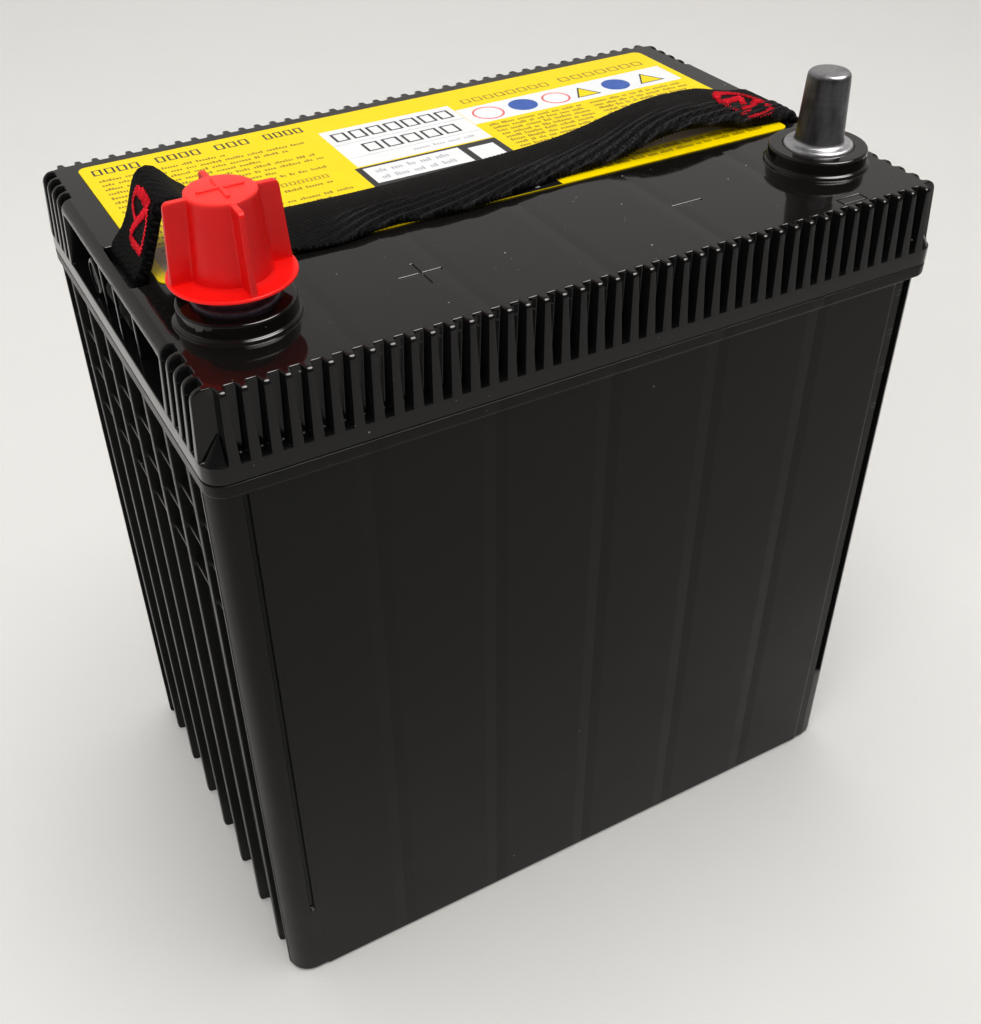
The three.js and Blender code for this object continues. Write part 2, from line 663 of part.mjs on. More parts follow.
// ---------------------------------------------------------------- assembly
addMesh("container", makeContainer(), caseBlack);
addMesh("lid", makeLid(), lidBlack);
addMesh("valve_cover", makeValveCover(), caseBlack);
for (let k = 0; k < CELLS; k++) addMesh(`safety_valve_${k + 1}`, makeValve(k), rubberBlack);
addMesh("flame_arrestor", makeArrestor(), filterWhite);
addMesh("top_label", makeLabel(), labelYellow);
for (let k = 0; k < CELLS; k++) {
  addMesh(`positive_plates_${k + 1}`, makePositivePlates(k), positivePaste);
  addMesh(`negative_plates_${k + 1}`, makeNegativePlates(k), negativePaste);
  addMesh(`separator_mat_${k + 1}`, makeSeparator(k), matWhite);
  if (k < CELLS - 1) addMesh(`intercell_weld_${k + 1}`, makeWeld(k), leadGrey);
}
for (const [name, terminal] of Object.entries({ positive: POSITIVE, negative: NEGATIVE })) {
  addMesh(`${name}_post`, makePost(terminal), leadGrey);
  addMesh(`${name}_pillar`, makePillar(terminal), leadGrey);
}
addMesh("terminal_cap", makeCap(), capRed);
addMesh("strap_left_end", webbing(LEFT_END, 22).add(strapLoop(-1)), strapBlack);
addMesh("strap_grip", makeGrip(), strapBlack);
addMesh("strap_right_end", webbing(RIGHT_END, 16).add(strapLoop(1)), strapBlack);

export default group;
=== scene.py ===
"""Sealed lead-acid battery in a B20 size case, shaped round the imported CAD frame.

It stands on z = 0 with its middle at x = y = 0. Its length runs along x and its front faces -y.
Shapes are worked out in mm and turned into metres by make_object; the rest is in metres.
"""
from contextlib import contextmanager
import json
import math
import bmesh
import bpy
import numpy as np
from mathutils import Matrix, Vector
from mathutils.geometry import delaunay_2d_cdt, tessellate_polygon

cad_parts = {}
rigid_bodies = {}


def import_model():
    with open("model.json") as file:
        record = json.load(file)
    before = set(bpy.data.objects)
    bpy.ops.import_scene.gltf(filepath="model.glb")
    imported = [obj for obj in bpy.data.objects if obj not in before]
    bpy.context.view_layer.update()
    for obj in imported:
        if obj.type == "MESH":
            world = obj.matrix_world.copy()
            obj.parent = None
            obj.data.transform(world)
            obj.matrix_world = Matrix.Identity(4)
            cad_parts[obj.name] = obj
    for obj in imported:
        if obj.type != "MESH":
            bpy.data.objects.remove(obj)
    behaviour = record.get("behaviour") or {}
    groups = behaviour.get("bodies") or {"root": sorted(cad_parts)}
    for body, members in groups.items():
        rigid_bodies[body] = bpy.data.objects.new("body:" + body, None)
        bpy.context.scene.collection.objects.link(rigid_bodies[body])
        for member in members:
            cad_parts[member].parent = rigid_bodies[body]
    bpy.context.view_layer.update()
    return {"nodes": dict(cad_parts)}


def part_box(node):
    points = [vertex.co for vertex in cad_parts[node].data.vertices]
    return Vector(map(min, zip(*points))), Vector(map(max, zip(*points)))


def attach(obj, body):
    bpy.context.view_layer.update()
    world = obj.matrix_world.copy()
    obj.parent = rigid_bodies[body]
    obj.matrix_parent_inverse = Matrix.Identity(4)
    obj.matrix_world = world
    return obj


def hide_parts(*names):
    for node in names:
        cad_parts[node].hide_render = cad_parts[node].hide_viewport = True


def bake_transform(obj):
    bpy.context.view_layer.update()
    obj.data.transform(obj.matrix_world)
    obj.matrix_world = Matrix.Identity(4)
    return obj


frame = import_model()
rng = np.random.default_rng(7)


# ---------------------------------------------------------------- sizes from the frame (mm)
def box_mm(node):
    low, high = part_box(node)
    return np.array(low) * 1000, np.array(high) * 1000


def middle_mm(node):
    low, high = box_mm(node)
    return (low + high) / 2


HALF_X, HALF_Y, CASE_TOP = box_mm("container")[1]
lid_low, lid_high = box_mm("lid")
LID_BOTTOM, BOSS_TOP = lid_low[2], lid_high[2]
label_low, label_high = box_mm("top_label")
PLATE_TOP = label_low[2] - 0.05
cap_low, cap_high = box_mm("terminal_cap")
POS_X, POS_Y = middle_mm("positive_post")[:2]
NEG_X, NEG_Y = middle_mm("negative_post")[:2]
POST_TOP = box_mm("positive_post")[1][2]
BAND_R = 5.0                 # upright corners of the band where case and lid meet
ARC_MID = 0.293              # how far the middle of a unit quarter arc lies in from its corner

# webbing
WEB_THICK = 1.7
WEB_WIDTH = 21.5
WEB_COUNT = 46               # points across the width
RIDGE_AT = 0.42              # width fraction of the ridge, from the front edge
RIB_PITCH = 2.35
RIB_TURN = math.radians(12)
BAR_Z = 193.2                # axis of the bars that hold the strap ends
BAR_X = 93.0


# ---------------------------------------------------------------- mesh helpers
@contextmanager
def editing(ob):
    bm = bmesh.new()
    bm.from_mesh(ob.data)
    yield bm
    bm.to_mesh(ob.data)
    bm.free()


def make_object(name, verts, faces, mats=(), mat_index=None):
    me = bpy.data.meshes.new(name)
    verts = (np.asarray(verts, float) * 0.001).tolist()
    me.from_pydata(verts, [], [tuple(int(i) for i in f) for f in faces])
    for mat in mats:
        me.materials.append(mat)
    if mat_index is not None:
        me.polygons.foreach_set("material_index", np.asarray(mat_index, np.int32))
    me.update()
    ob = bpy.data.objects.new(name, me)
    bpy.context.scene.collection.objects.link(ob)
    return ob


def solid(name, skin):
    """Object from a closed skin, with its faces turned outward."""
    ob = make_object(name, *skin)
    with editing(ob) as bm:
        bmesh.ops.recalc_face_normals(bm, faces=bm.faces)
    return ob


def shade(ob, sharp=38.0, weighted=True):
    """Smooth shading that keeps edges of more than `sharp` degrees crisp."""
    with editing(ob) as bm:
        bmesh.ops.recalc_face_normals(bm, faces=bm.faces)
        for face in bm.faces:
            face.smooth = True
        limit = math.radians(sharp)
        for edge in bm.edges:
            edge.smooth = len(edge.link_faces) == 2 and edge.calc_face_angle(0.0) < limit
    if weighted:
        normals = ob.modifiers.new("normals", "WEIGHTED_NORMAL")
        normals.mode = "FACE_AREA"
        normals.weight = 100
        normals.keep_sharp = True


def dress(ob, mats):
    ob.data.materials.clear()
    for mat in mats:
        ob.data.materials.append(mat)


def settle(ob, node, sharp=38.0, weighted=True, body="battery"):
    """Shade a finished piece and put it in place of its CAD node."""
    shade(ob, sharp, weighted)
    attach(ob, body)
    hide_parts(node)


def cap_faces(points, base, flip=False):
    """Triangles over one closed outline of 2D points."""
    tris = tessellate_polygon([[Vector((float(p[0]), float(p[1]), 0.0)) for p in points]])
    return [tuple(base + i for i in (t[::-1] if flip else t)) for t in tris]


def loft(rings, cap_axis=2):
    """Closed skin through rings of equal length, capped at both ends."""
    n = len(rings[0])
    faces = []
    for k in range(len(rings) - 1):
        a, b = k * n, (k + 1) * n
        for i in range(n):
            j = (i + 1) % n
            faces.append((a + i, a + j, b + j, b + i))
    keep = [i for i in range(3) if i != cap_axis]
    faces += cap_faces(np.asarray(rings[0])[:, keep], 0, True)
    faces += cap_faces(np.asarray(rings[-1])[:, keep], (len(rings) - 1) * n)
    return np.concatenate([np.asarray(r, float) for r in rings]), faces


def lathe(profile, cx, cy, n=64):
    """Solid of revolution; profile is (radius, z) from the axis back to the axis."""
    inner = [p for p in profile if p[0] > 1e-9]
    ang = np.arange(n) * 2 * math.pi / n
    verts = [np.stack([cx + r * np.cos(ang), cy + r * np.sin(ang), np.full(n, z)], 1)
             for r, z in inner]
    verts = np.concatenate(verts + [np.array([[cx, cy, profile[0][1]], [cx, cy, profile[-1][1]]])])
    faces = []
    for k in range(len(inner) - 1):
        for i in range(n):
            j = (i + 1) % n
            faces.append((k * n + i, k * n + j, (k + 1) * n + j, (k + 1) * n + i))
    start, end, last = len(verts) - 2, len(verts) - 1, (len(inner) - 1) * n
    for i in range(n):
        j = (i + 1) % n
        faces.append((start, j, i))
        faces.append((end, last + i, last + j))
    return verts, faces


def lathe_x(profile, x, y, z, n):
    """The same with the axis along x."""
    verts, faces = lathe(profile, 0, 0, n)
    return verts[:, [2, 0, 1]] + (x, y, z), faces


def rod(radius, start, end):
    """Profile of a plain cylinder."""
    return [(0, start), (radius, start), (radius, end), (0, end)]


def shifted(table, radius, z):
    """Profile points from offsets to a radius and a height."""
    return [(radius + dr, z + dz) for dr, dz in table]


def grown(span, amount):
    return span[0] - amount, span[1] + amount


def rounded_rect(x_span, y_span, r, steps=5):
    (x0, x1), (y0, y1) = x_span, y_span
    out = []
    for cx, cy, first in ((x1 - r, y0 + r, -90), (x1 - r, y1 - r, 0),
                          (x0 + r, y1 - r, 90), (x0 + r, y0 + r, 180)):
        for k in range(steps + 1):
            a = math.radians(first + 90 * k / steps)
            out.append((cx + r * math.cos(a), cy + r * math.sin(a)))
    return out


def rect_stack(x_span, y_span, corner, levels, follow=1.0):
    """Loft of rounded rectangles; levels are (z, growth), and corners grow by follow * growth."""
    return loft([[(x, y, z) for x, y in rounded_rect(grown(x_span, g), grown(y_span, g),
                                                     max(corner + follow * g, 0.02))]
                 for z, g in levels])


def soft_box(x_span, y_span, z_span, corner, bevel, round_bottom=True, round_top=True):
    """Box with rounded upright edges and, if asked, rounded bottom and top edges."""
    z0, z1 = z_span
    turns = [(bevel * (1 - math.sin(t)), bevel * (1 - math.cos(t)))
             for t in (math.pi / 2, math.pi / 3, math.pi / 6, 0)]
    levels = [(z0 + rise, -inset) for rise, inset in turns] if round_bottom else [(z0, 0)]
    levels += [(z1 - rise, -inset) for rise, inset in turns[::-1]] if round_top else [(z1, 0)]
    return rect_stack(x_span, y_span, corner, levels)


def merge(parts):
    verts, faces, base = [], [], 0
    for v, f in parts:
        verts.append(np.asarray(v, float))
        faces += [tuple(i + base for i in t) for t in f]
        base += len(v)
    return np.concatenate(verts), faces


def boolean(ob, operation, parts):
    """Apply one boolean, with all the parts merged into one tool."""
    tool = solid("tool", merge(parts))
    modifier = ob.modifiers.new("boolean", "BOOLEAN")
    modifier.operation = operation
    modifier.object = tool
    modifier.solver = "MANIFOLD"
    depsgraph = bpy.context.evaluated_depsgraph_get()
    depsgraph.update()
    me = bpy.data.meshes.new_from_object(ob.evaluated_get(depsgraph))
    ob.modifiers.remove(modifier)
    old = ob.data
    ob.data = me
    bpy.data.meshes.remove(old)
    bpy.data.objects.remove(tool)


def join(ob, *parts):
    boolean(ob, "UNION", parts)


def cut(ob, *parts):
    boolean(ob, "DIFFERENCE", parts)


def clamp01(t):
    return min(max(t, 0.0), 1.0)


def smooth01(t):
    t = clamp01(t)
    return t * t * (3 - 2 * t)


def quarter(t):
    """Depth lost at the fraction t of a quarter round, 0 to 1."""
    t = clamp01(t)
    return 1 - math.sqrt(max(0.0, 1 - t * t))


def along_band(inset, start, end, count):
    """Points strictly between two places on a quadrant of the band, and the end place itself.

    A place is ("side", x) on the long side or ("end", y) on the short side.
    """
    half_x, half_y, r = HALF_X - inset, HALF_Y - inset, max(BAND_R - inset, 0.05)
    flat_x, flat_y, arc = half_x - r, half_y - r, r * math.pi / 2

    def length(place):
        kind, value = place
        if kind == "side":
            if value <= flat_x:
                return value
            return flat_x + math.asin(min(1, (value - flat_x) / r)) * r
        if value <= flat_y:
            return flat_x + arc + (flat_y - value)
        return flat_x + r * (math.pi / 2 - math.asin(min(1, (value - flat_y) / r)))

    def point(s):
        if s <= flat_x:
            return s, half_y
        s -= flat_x
        if s <= arc:
            return flat_x + r * math.sin(s / r), flat_y + r * math.cos(s / r)
        return half_x, flat_y - (s - arc)

    s0, s1 = length(start), length(end)
    between = [point(s0 + (s1 - s0) * (k + 1) / (count + 1)) for k in range(count)]
    return between, point(s1)


def full_ring(z, quad, other=None):
    """Whole outline from quadrants running from (0, y) to (x, 0) in positive numbers.

    quad fills front left and back right, other the remaining two.
    """
    other = other or quad
    ring = [(-u, -v, z) for u, v in quad]                  # front middle to left middle
    ring += [(-u, v, z) for u, v in other[::-1]][1:]       # left middle to back middle
    ring += [(u, v, z) for u, v in quad][1:]               # back middle to right middle
    ring += [(u, -v, z) for u, v in other[::-1]][1:-1]     # right middle to front middle
    return ring


def flank(half, face, floor, tip_r, root_r, spread):
    """One rib flank, from its face over a rounded tip and root to the gap floor.

    Points are (distance from the rib's middle, depth coordinate).
    """
    root = half + spread
    return [(half - tip_r, face), (half - ARC_MID * tip_r, face - ARC_MID * tip_r),
            (half, face - tip_r), (root, floor + root_r),
            (root + ARC_MID * root_r, floor + ARC_MID * root_r), (root + root_r, floor)]


# ---------------------------------------------------------------- lid (mm)
LEDGE = 186.5                                 # top of the band, foot of the ribs
PLATE_UNDER = 199.6
RIB_GAPS, SIDE_PITCH = 20, 4.6                # along half a long side
END_RIBS = [59.6 - 4.95 * k for k in range(5)]    # |y| of the ribs on each end
SIDE_HALF = (1.28, 0.70)                      # half width of a rib at the ledge and at the plate
END_HALF = (1.08, 0.62)
LID_LEAN = 1.0
WALL_X, WALL_Y = 94.4, 60.9                   # walls behind the ribs
POCKET_X = 88.5                               # floor of the pocket in the middle of each end
POCKET_R = 1.0
TIP_R, ROOT_R, ROOT_SPREAD = 0.26, 0.34, 0.34

BAND_RINGS = [                                # z, inset of the outline, inset of the rib faces
    (LID_BOTTOM, 0.25, 0.25), (LID_BOTTOM + 0.07, 0.1, 0.1), (LID_BOTTOM + 0.25, 0, 0),
    (186.05, 0, 0), (186.3, 0.04, 0), (186.43, 0.13, 0), (LEDGE, 0.32, 0)]
COMB_RINGS = [                                # z, growth of ribs and walls
    (LEDGE + 0.01, 0.33), (186.6, 0.15), (186.76, 0.04), (187.0, 0), (190, 0), (194, 0),
    (197.5, 0), (PLATE_UNDER, 0)]
LIP_RINGS = [                                 # z, inset of the lip over the end pockets
    (PLATE_UNDER + 0.01, 0.7), (199.72, 0.42), (199.92, 0.16)]
LIP_RINGS += [(z, 0) for z in (200.25, 200.6, 200.9, 201.2, 201.5, 201.8, 202.05, 202.3, 202.5,
                               202.66)]
LIP_RINGS += [(PLATE_TOP - 0.3 + 0.3 * s, 0) for s in (0.0, 0.35, 0.6, 0.8, 0.93, 1.0)]

BOSS_FOOT = [                                 # offsets from the boss radius and the plate
    (1.05, 0.01), (0.82, 0.09), (0.72, 0.26), (0.7, 0.45), (0.64, 0.66), (0.48, 0.84),
    (0.28, 0.94), (0.12, 1.02), (0.03, 1.16), (0, 1.4), (-0.03, 2.5)]
BOSS_RIM = [                                  # offsets from the boss radius and the boss top
    (-0.06, -0.6), (-0.12, -0.34), (-0.28, -0.13), (-0.52, -0.02), (-0.8, 0)]
TERMINALS = (                                 # x, y, radii of boss, sleeve, bore and recess
    (POS_X, POS_Y, 13.0, 11.2, 8.5, 9.9),
    (NEG_X, NEG_Y, 12.6, 10.0, 7.3, 9.0))


def lid_quadrant(z, mode, inset=0.0, face_inset=0.0, grow=0.0, lip_inset=0.0):
    """One quadrant of the lid outline, from the middle of a long side to the middle of an end.

    'band' is the plain rim, 'comb' has ribs and pockets, 'lip' has ribs and closed pockets.
    """
    rise = clamp01((z - LEDGE) / (PLATE_TOP - LEDGE))

    def nose(r):
        """Rounding of the top edge."""
        return r * quarter((z - (PLATE_TOP - r)) / r)

    lean, swell = LID_LEAN * rise, grow - nose(0.3)
    side_face = HALF_Y - face_inset - lean - nose(1.15)
    end_face = HALF_X - face_inset - lean - nose(2.6)
    side_half, end_half = (low + (high - low) * rise + swell
                           for low, high in (SIDE_HALF, END_HALF))
    side = flank(side_half, side_face, WALL_Y + swell, TIP_R, ROOT_R, ROOT_SPREAD)
    end = flank(end_half, end_face, WALL_X + swell, TIP_R, ROOT_R, ROOT_SPREAD)
    side_tip, end_tip = side[0][0], end[0][0]
    band = mode == "band"

    # long side
    points = [(0.0, side_face)]
    for i in range(RIB_GAPS):
        a, b = i * SIDE_PITCH, (i + 1) * SIDE_PITCH
        if band:
            between, _ = along_band(inset, ("side", a + side_tip), ("side", b - side_tip), 10)
            points += [(a + side_tip, side_face), *between, (b - side_tip, side_face)]
        else:
            points += [(a + s, v) for s, v in side] + [(b - s, v) for s, v in side[::-1]]

    # corner notch
    a, b = RIB_GAPS * SIDE_PITCH, END_RIBS[0]
    if band:
        between, last = along_band(inset, ("side", a + side_tip), ("end", b + end_tip), 11)
        points += [(a + side_tip, side_face), *between, last]
    else:
        notch = b + end_half + ROOT_SPREAD
        points += [(a + s, v) for s, v in
                   flank(side_half, side_face, notch, TIP_R, ROOT_R, ROOT_SPREAD)]
        u0, u1 = points[-1][0], end_face - TIP_R
        rib_side = b + end_half
        points += [(u0 + (u1 - u0) * s, notch + (rib_side - notch) * s)
                   for s in (0.2, 0.4, 0.6, 0.8)]
        points += [(u, b + s) for s, u in end[2::-1]]

    # end
    for a, b in zip(END_RIBS, END_RIBS[1:]):
        if band:
            between, _ = along_band(inset, ("end", a - end_tip), ("end", b + end_tip), 10)
            points += [(end_face, a - end_tip), *between, (end_face, b + end_tip)]
        else:
            points += [(u, a - s) for s, u in end] + [(u, b + s) for s, u in end[::-1]]

    # pocket in the middle of the end
    a = END_RIBS[-1]
    if band:
        between, last = along_band(inset, ("end", a - end_tip), ("end", 0.0), 10)
        points += [(end_face, a - end_tip), *between, last]
    elif mode == "comb":
        wall, floor, r = a - end_half - ROOT_SPREAD, POCKET_X + grow, POCKET_R
        points += [(u, a - s) for s, u in end[:3]]
        points += [(floor + (end_face - TIP_R - floor) * s, wall) for s in (0.66, 0.33)]
        points += [(floor + r, wall), (floor + ARC_MID * r, wall - ARC_MID * r), (floor, wall - r)]
        points += [(floor, wall * s) for s in (0.75, 0.5, 0.25, 0.0)]
    else:
        top = a - end_half
        points.append((end_face, top + TIP_R))
        points += [(end_face - lip_inset, top * (1 - s / 11)) for s in range(1, 12)]
    return points


def lid_rings():
    quads = [(z, lid_quadrant(z, "band", inset=inset, face_inset=face_inset))
             for z, inset, face_inset in BAND_RINGS]
    quads += [(z, lid_quadrant(z, "comb", grow=grow)) for z, grow in COMB_RINGS]
    quads += [(z, lid_quadrant(z, "lip", lip_inset=inset)) for z, inset in LIP_RINGS]
    return [full_ring(z, quad) for z, quad in quads]


def add_valve_trough(lid):
    """Sunk trough under the valve cover, with a hollow stub for each valve."""
    y = middle_mm("safety_valve_1")[1]
    xs = np.linspace(middle_mm("safety_valve_1")[0], middle_mm("safety_valve_6")[0], 6)
    low, high = box_mm("valve_cover")
    x_span, y_span = ((low[i] + 0.5, high[i] - 0.5) for i in (0, 1))
    join(lid, soft_box(grown(x_span, 2), grown(y_span, 2), (188.8, PLATE_UNDER + 1), 1, 0.4))
    cut(lid, soft_box(x_span, y_span, (191.2, PLATE_TOP + 2), 1, 0.4, round_top=False))
    cut(lid, soft_box(grown(x_span, 0.8), grown(y_span, 0.8), (201.4, PLATE_TOP + 2), 0.8, 0.1,
                      round_top=False))
    stub = [(0, 190.2), (5.2, 190.2), (5.2, 196.9), (4.7, 197.4), (0, 197.4)]
    join(lid, *[lathe(stub, x, y, 32) for x in xs])
    cut(lid, *[lathe(rod(3.0, 186, 198), x, y, 24) for x in xs])


def boss(x, y, radius):
    profile = [(0, 200.5), (radius + 1.05, 200.5), *shifted(BOSS_FOOT, radius, PLATE_TOP),
               *shifted(BOSS_RIM, radius, BOSS_TOP), (0, BOSS_TOP)]
    return lathe(profile, x, y, 96)


def corner_gusset(sx, sy):
    """Low pyramid in a corner notch, shrinking towards its tip as it rises."""
    base = along_band(0.22, ("side", 93.25), ("end", 61.1), 12)[0]
    base = base + [(96.0, 60.85), (93.35, 60.75), (93.1, 62.0)]
    tip_x, tip_y = 93.6, 61.25
    rings = []
    for s in (0.0, 0.3, 0.6, 0.8, 0.9, 0.955):
        ring = [(sx * (tip_x + (x - tip_x) * (1 - s)), sy * (tip_y + (y - tip_y) * (1 - s)),
                 186.35 + 6.3 * s) for x, y in base]
        rings.append(ring if sx * sy > 0 else ring[::-1])
    return loft(rings)


def end_webs(sx):
    """Two upright webs beside the strap slot and a thin upright rib on the end."""
    webs = [soft_box(sorted((sx * 87.5, sx * 96.8)), (y - 0.6, y + 0.6), (185.8, 200.5), 0.3, 0.1)
            for y in (-15.6, 11.6)]
    rib = soft_box(sorted((sx * 97.05, sx * 97.75)), (-5.6, -4.6), (186.0, 200.5), 0.2, 0.1)
    return webs + [rib]


def strap_bar(sx):
    """Bar along y that a strap end wraps."""
    verts, faces = lathe(rod(1.75, -15.8, 11.8), 0, 0, 32)
    return verts[:, [0, 2, 1]] + (sx * BAR_X, 0, BAR_Z), faces


def terminal_bore(x, y, bore, recess):
    return lathe([(0, 190), (bore, 190), (bore, BOSS_TOP - 1.0), (recess, BOSS_TOP - 1.0),
                  (recess, BOSS_TOP - 0.2), (recess + 0.15, BOSS_TOP + 0.02),
                  (recess + 0.15, BOSS_TOP + 1), (0, BOSS_TOP + 1)], x, y, 64)


def strap_slot(sx):
    """Slot through the plate, with an eased mouth."""
    levels = [(197.5, 0.0), (PLATE_UNDER + 0.6, 0.0), (PLATE_TOP - 0.45, 0.0),
              (PLATE_TOP - 0.25, 0.05), (PLATE_TOP - 0.1, 0.16), (PLATE_TOP, 0.36),
              (PLATE_TOP + 1, 0.36)]
    return rect_stack(sorted((sx * 90.8, sx * 95.2)), (-13.3, 9.3), 0.8, levels)


def groove(x0, x1, y0, y1):
    levels = [(PLATE_TOP - 0.3, -0.06), (PLATE_TOP - 0.08, 0.0), (PLATE_TOP, 0.09),
              (PLATE_TOP + 1, 0.09)]
    return rect_stack((x0, x1), (y0, y1), 0.22, levels, follow=0.0)


def build_lid():
    lid = solid("lid_moulding", loft(lid_rings()))
    # hollow underside
    cut(lid, soft_box((-92.4, 92.4), (-60.2, 60.2), (LID_BOTTOM - 4, 185.5), 1.5, 0.3,
                      round_bottom=False))
    cut(lid, soft_box((-85.5, 85.5), (-58, 58), (184, PLATE_UNDER), 1.5, 0.5,
                      round_bottom=False))
    add_valve_trough(lid)
    join(lid, *[boss(x, y, radius) for x, y, radius, *_ in TERMINALS],
         *[corner_gusset(sx, sy) for sx in (-1, 1) for sy in (-1, 1)],
         *end_webs(-1), *end_webs(1))

    # tube for the flame arrestor, in the left end
    _, tube_y, tube_z = middle_mm("flame_arrestor")

    def along_tube(profile, n):
        return lathe_x(profile, 0, tube_y, tube_z, n)

    tube = [(0, -97.1), (4.0, -97.1), (4.3, -97.0), (4.5, -96.8), (4.6, -96.5), (4.6, -87.5),
            (0, -87.5)]
    join(lid, strap_bar(-1), strap_bar(1),
         *[lathe(rod(sleeve, 192.5, 201.5), x, y, 48) for x, y, _, sleeve, _, _ in TERMINALS],
         along_tube(tube, 48))
    cut(lid, along_tube(rod(2.1, -98.5, -84), 24),
        *[terminal_bore(x, y, bore, recess) for x, y, _, _, bore, recess in TERMINALS],
        strap_slot(-1), strap_slot(1))
    # polarity marks and a small rectangle sunk into the plate; crossing strokes are cut second
    cut(lid, groove(-42.2, -31.4, -39.8, -38.95), groove(31.5, 40.3, -40.1, -39.35),
        groove(67.8, 75.2, -57.2, -56.8), groove(67.8, 75.2, -60.1, -59.7))
    cut(lid, groove(-37.15, -36.3, -44.5, -34.2), groove(67.7, 68.1, -59.9, -57.0),
        groove(74.9, 75.3, -59.9, -57.0))
    cut(lid, along_tube(rod(3.7, -99, -94.4), 40))
    return lid


# ---------------------------------------------------------------- container (mm)
BODY_X, BODY_Y, BODY_R = 98.1, 63.2, 7.0
FOOT_R, TOP_R = 1.3, 0.25                     # rounding of the bottom and top edges
PANEL_INSET = 0.32                            # set-back of the face outside the side panel
POCKETS = [(57.0, 49.1), (46.9, 33.1), (30.9, 17.1), (14.9, 1.1)]    # |y| spans on each end
POCKET_TIP_R, POCKET_ROOT_R, POCKET_SPREAD = 0.42, 0.4, 0.06
FLOOR_X = 95.2                                # pocket floors
CROSS_X, CROSS_Z = 97.1, [139.0, 150.8, 162.6, 174.4]    # ribs across the pockets
CROSS_R, CROSS_FLAT, CROSS_HALF = 0.35, 0.25, 0.6
CROSS_FOOT, CROSS_END = 0.62, 1.0             # the fillet at a rib's foot, from its middle
FLANGE_Z = [177.3, 177.75, 178.1, 178.3, 178.5, 178.75, 179.1]
FLANGE_SHARE = [0.0, 0.05, 0.2, 0.48, 0.72, 0.93, 1.0]    # how far the body has widened
PANEL_EDGE = [(87.6, 0.0), (87.85, 0.12), (88.05, 0.5), (88.25, 0.88), (88.5, 1.0)]
# upright grooves near the corners: profile is (|x|, share of the depth)
NARROW = dict(depth=0.95, z_span=(28.6, 177.2), resume=91.35, profile=[
    (89.6, 0.0), (89.72, 0.05), (89.84, 0.4), (89.92, 1.0), (90.75, 1.0), (90.84, 0.5),
    (90.98, 0.12), (91.1, 0.0)])
WIDE = dict(depth=1.6, z_span=(30.6, 178.4), resume=94.5, profile=[
    (90.9, 0.0), (91.05, 0.06), (91.17, 0.4), (91.25, 1.0), (93.9, 1.0), (94.0, 0.5),
    (94.12, 0.1), (94.25, 0.0)])


def pocket_floor(z):
    """Depth of the pocket floors at a height, with the rounded cross ribs."""
    best = FLOOR_X
    for middle in CROSS_Z:
        h = abs(z - middle)
        if h <= CROSS_HALF:
            depth = CROSS_X - CROSS_R * quarter((h - CROSS_FLAT) / CROSS_R)
        elif h < CROSS_FOOT:
            depth = FLOOR_X + CROSS_R
        elif h < CROSS_END:
            depth = FLOOR_X + CROSS_R * quarter(1 - (h - CROSS_FOOT) / (CROSS_END - CROSS_FOOT))
        else:
            continue
        best = max(best, depth)
    return best


def case_quadrant(z, kind, groove_shape):
    """One quadrant of the container outline; kind is 'body', 'shut' or 'flange'."""
    widen = float(np.interp(z, FLANGE_Z, FLANGE_SHARE))
    inset = FOOT_R * quarter((FOOT_R - z) / FOOT_R)
    inset += TOP_R * quarter((z - (CASE_TOP - TOP_R)) / TOP_R)
    half_x = BODY_X + (HALF_X - BODY_X) * widen - inset
    half_y = BODY_Y + (HALF_Y - BODY_Y) * widen - inset
    r = max(BODY_R + (BAND_R - BODY_R) * widen - inset, 1.0)
    cx, cy = half_x - r, half_y - r
    setback = PANEL_INSET * (1 - widen)

    def face(u):
        return half_y if u <= cx else cy + math.sqrt(max(r * r - (u - cx) ** 2, 0.0))

    # long side: panel, its edge and the groove, which fades out at both ends
    points = [(u, half_y) for u in (0.0, 20.0, 50.0, 75.0, 86.5)]
    points += [(u, half_y - setback * t) for u, t in PANEL_EDGE]
    low, high = groove_shape["z_span"]
    depth = groove_shape["depth"] * (smooth01((z - low) / 0.5) * smooth01((high - z) / 0.5))
    points += [(u, face(u) - setback - depth * t) for u, t in groove_shape["profile"]]
    resume = groove_shape["resume"]
    points.append((resume, face(resume) - setback))

    # corner
    first = math.asin(min(max((resume - cx) / r, 0.0), 0.97))
    for i in range(9):
        t = (i + 0.7) / 9
        a = first + (math.pi / 2 - first) * t
        fade = 1 - smooth01(t * 1.6)
        points.append((cx + r * math.sin(a), cy + r * math.cos(a) - setback * fade))

    # end wall
    pocket = flank(0, half_x, pocket_floor(z), POCKET_TIP_R, POCKET_ROOT_R, POCKET_SPREAD)
    for a, b in POCKETS:
        if kind == "body":
            points += [(u, a - s) for s, u in pocket] + [(u, b + s) for s, u in pocket[::-1]]
        else:
            wall = half_x - (0.0 if kind == "flange" else 0.35)
            ys = np.linspace(a + POCKET_TIP_R, b - POCKET_TIP_R, 12)
            points += [(half_x, ys[0]), *[(wall, y) for y in ys[1:-1]], (half_x, ys[-1])]
    points.append((half_x, 0.0))
    return points


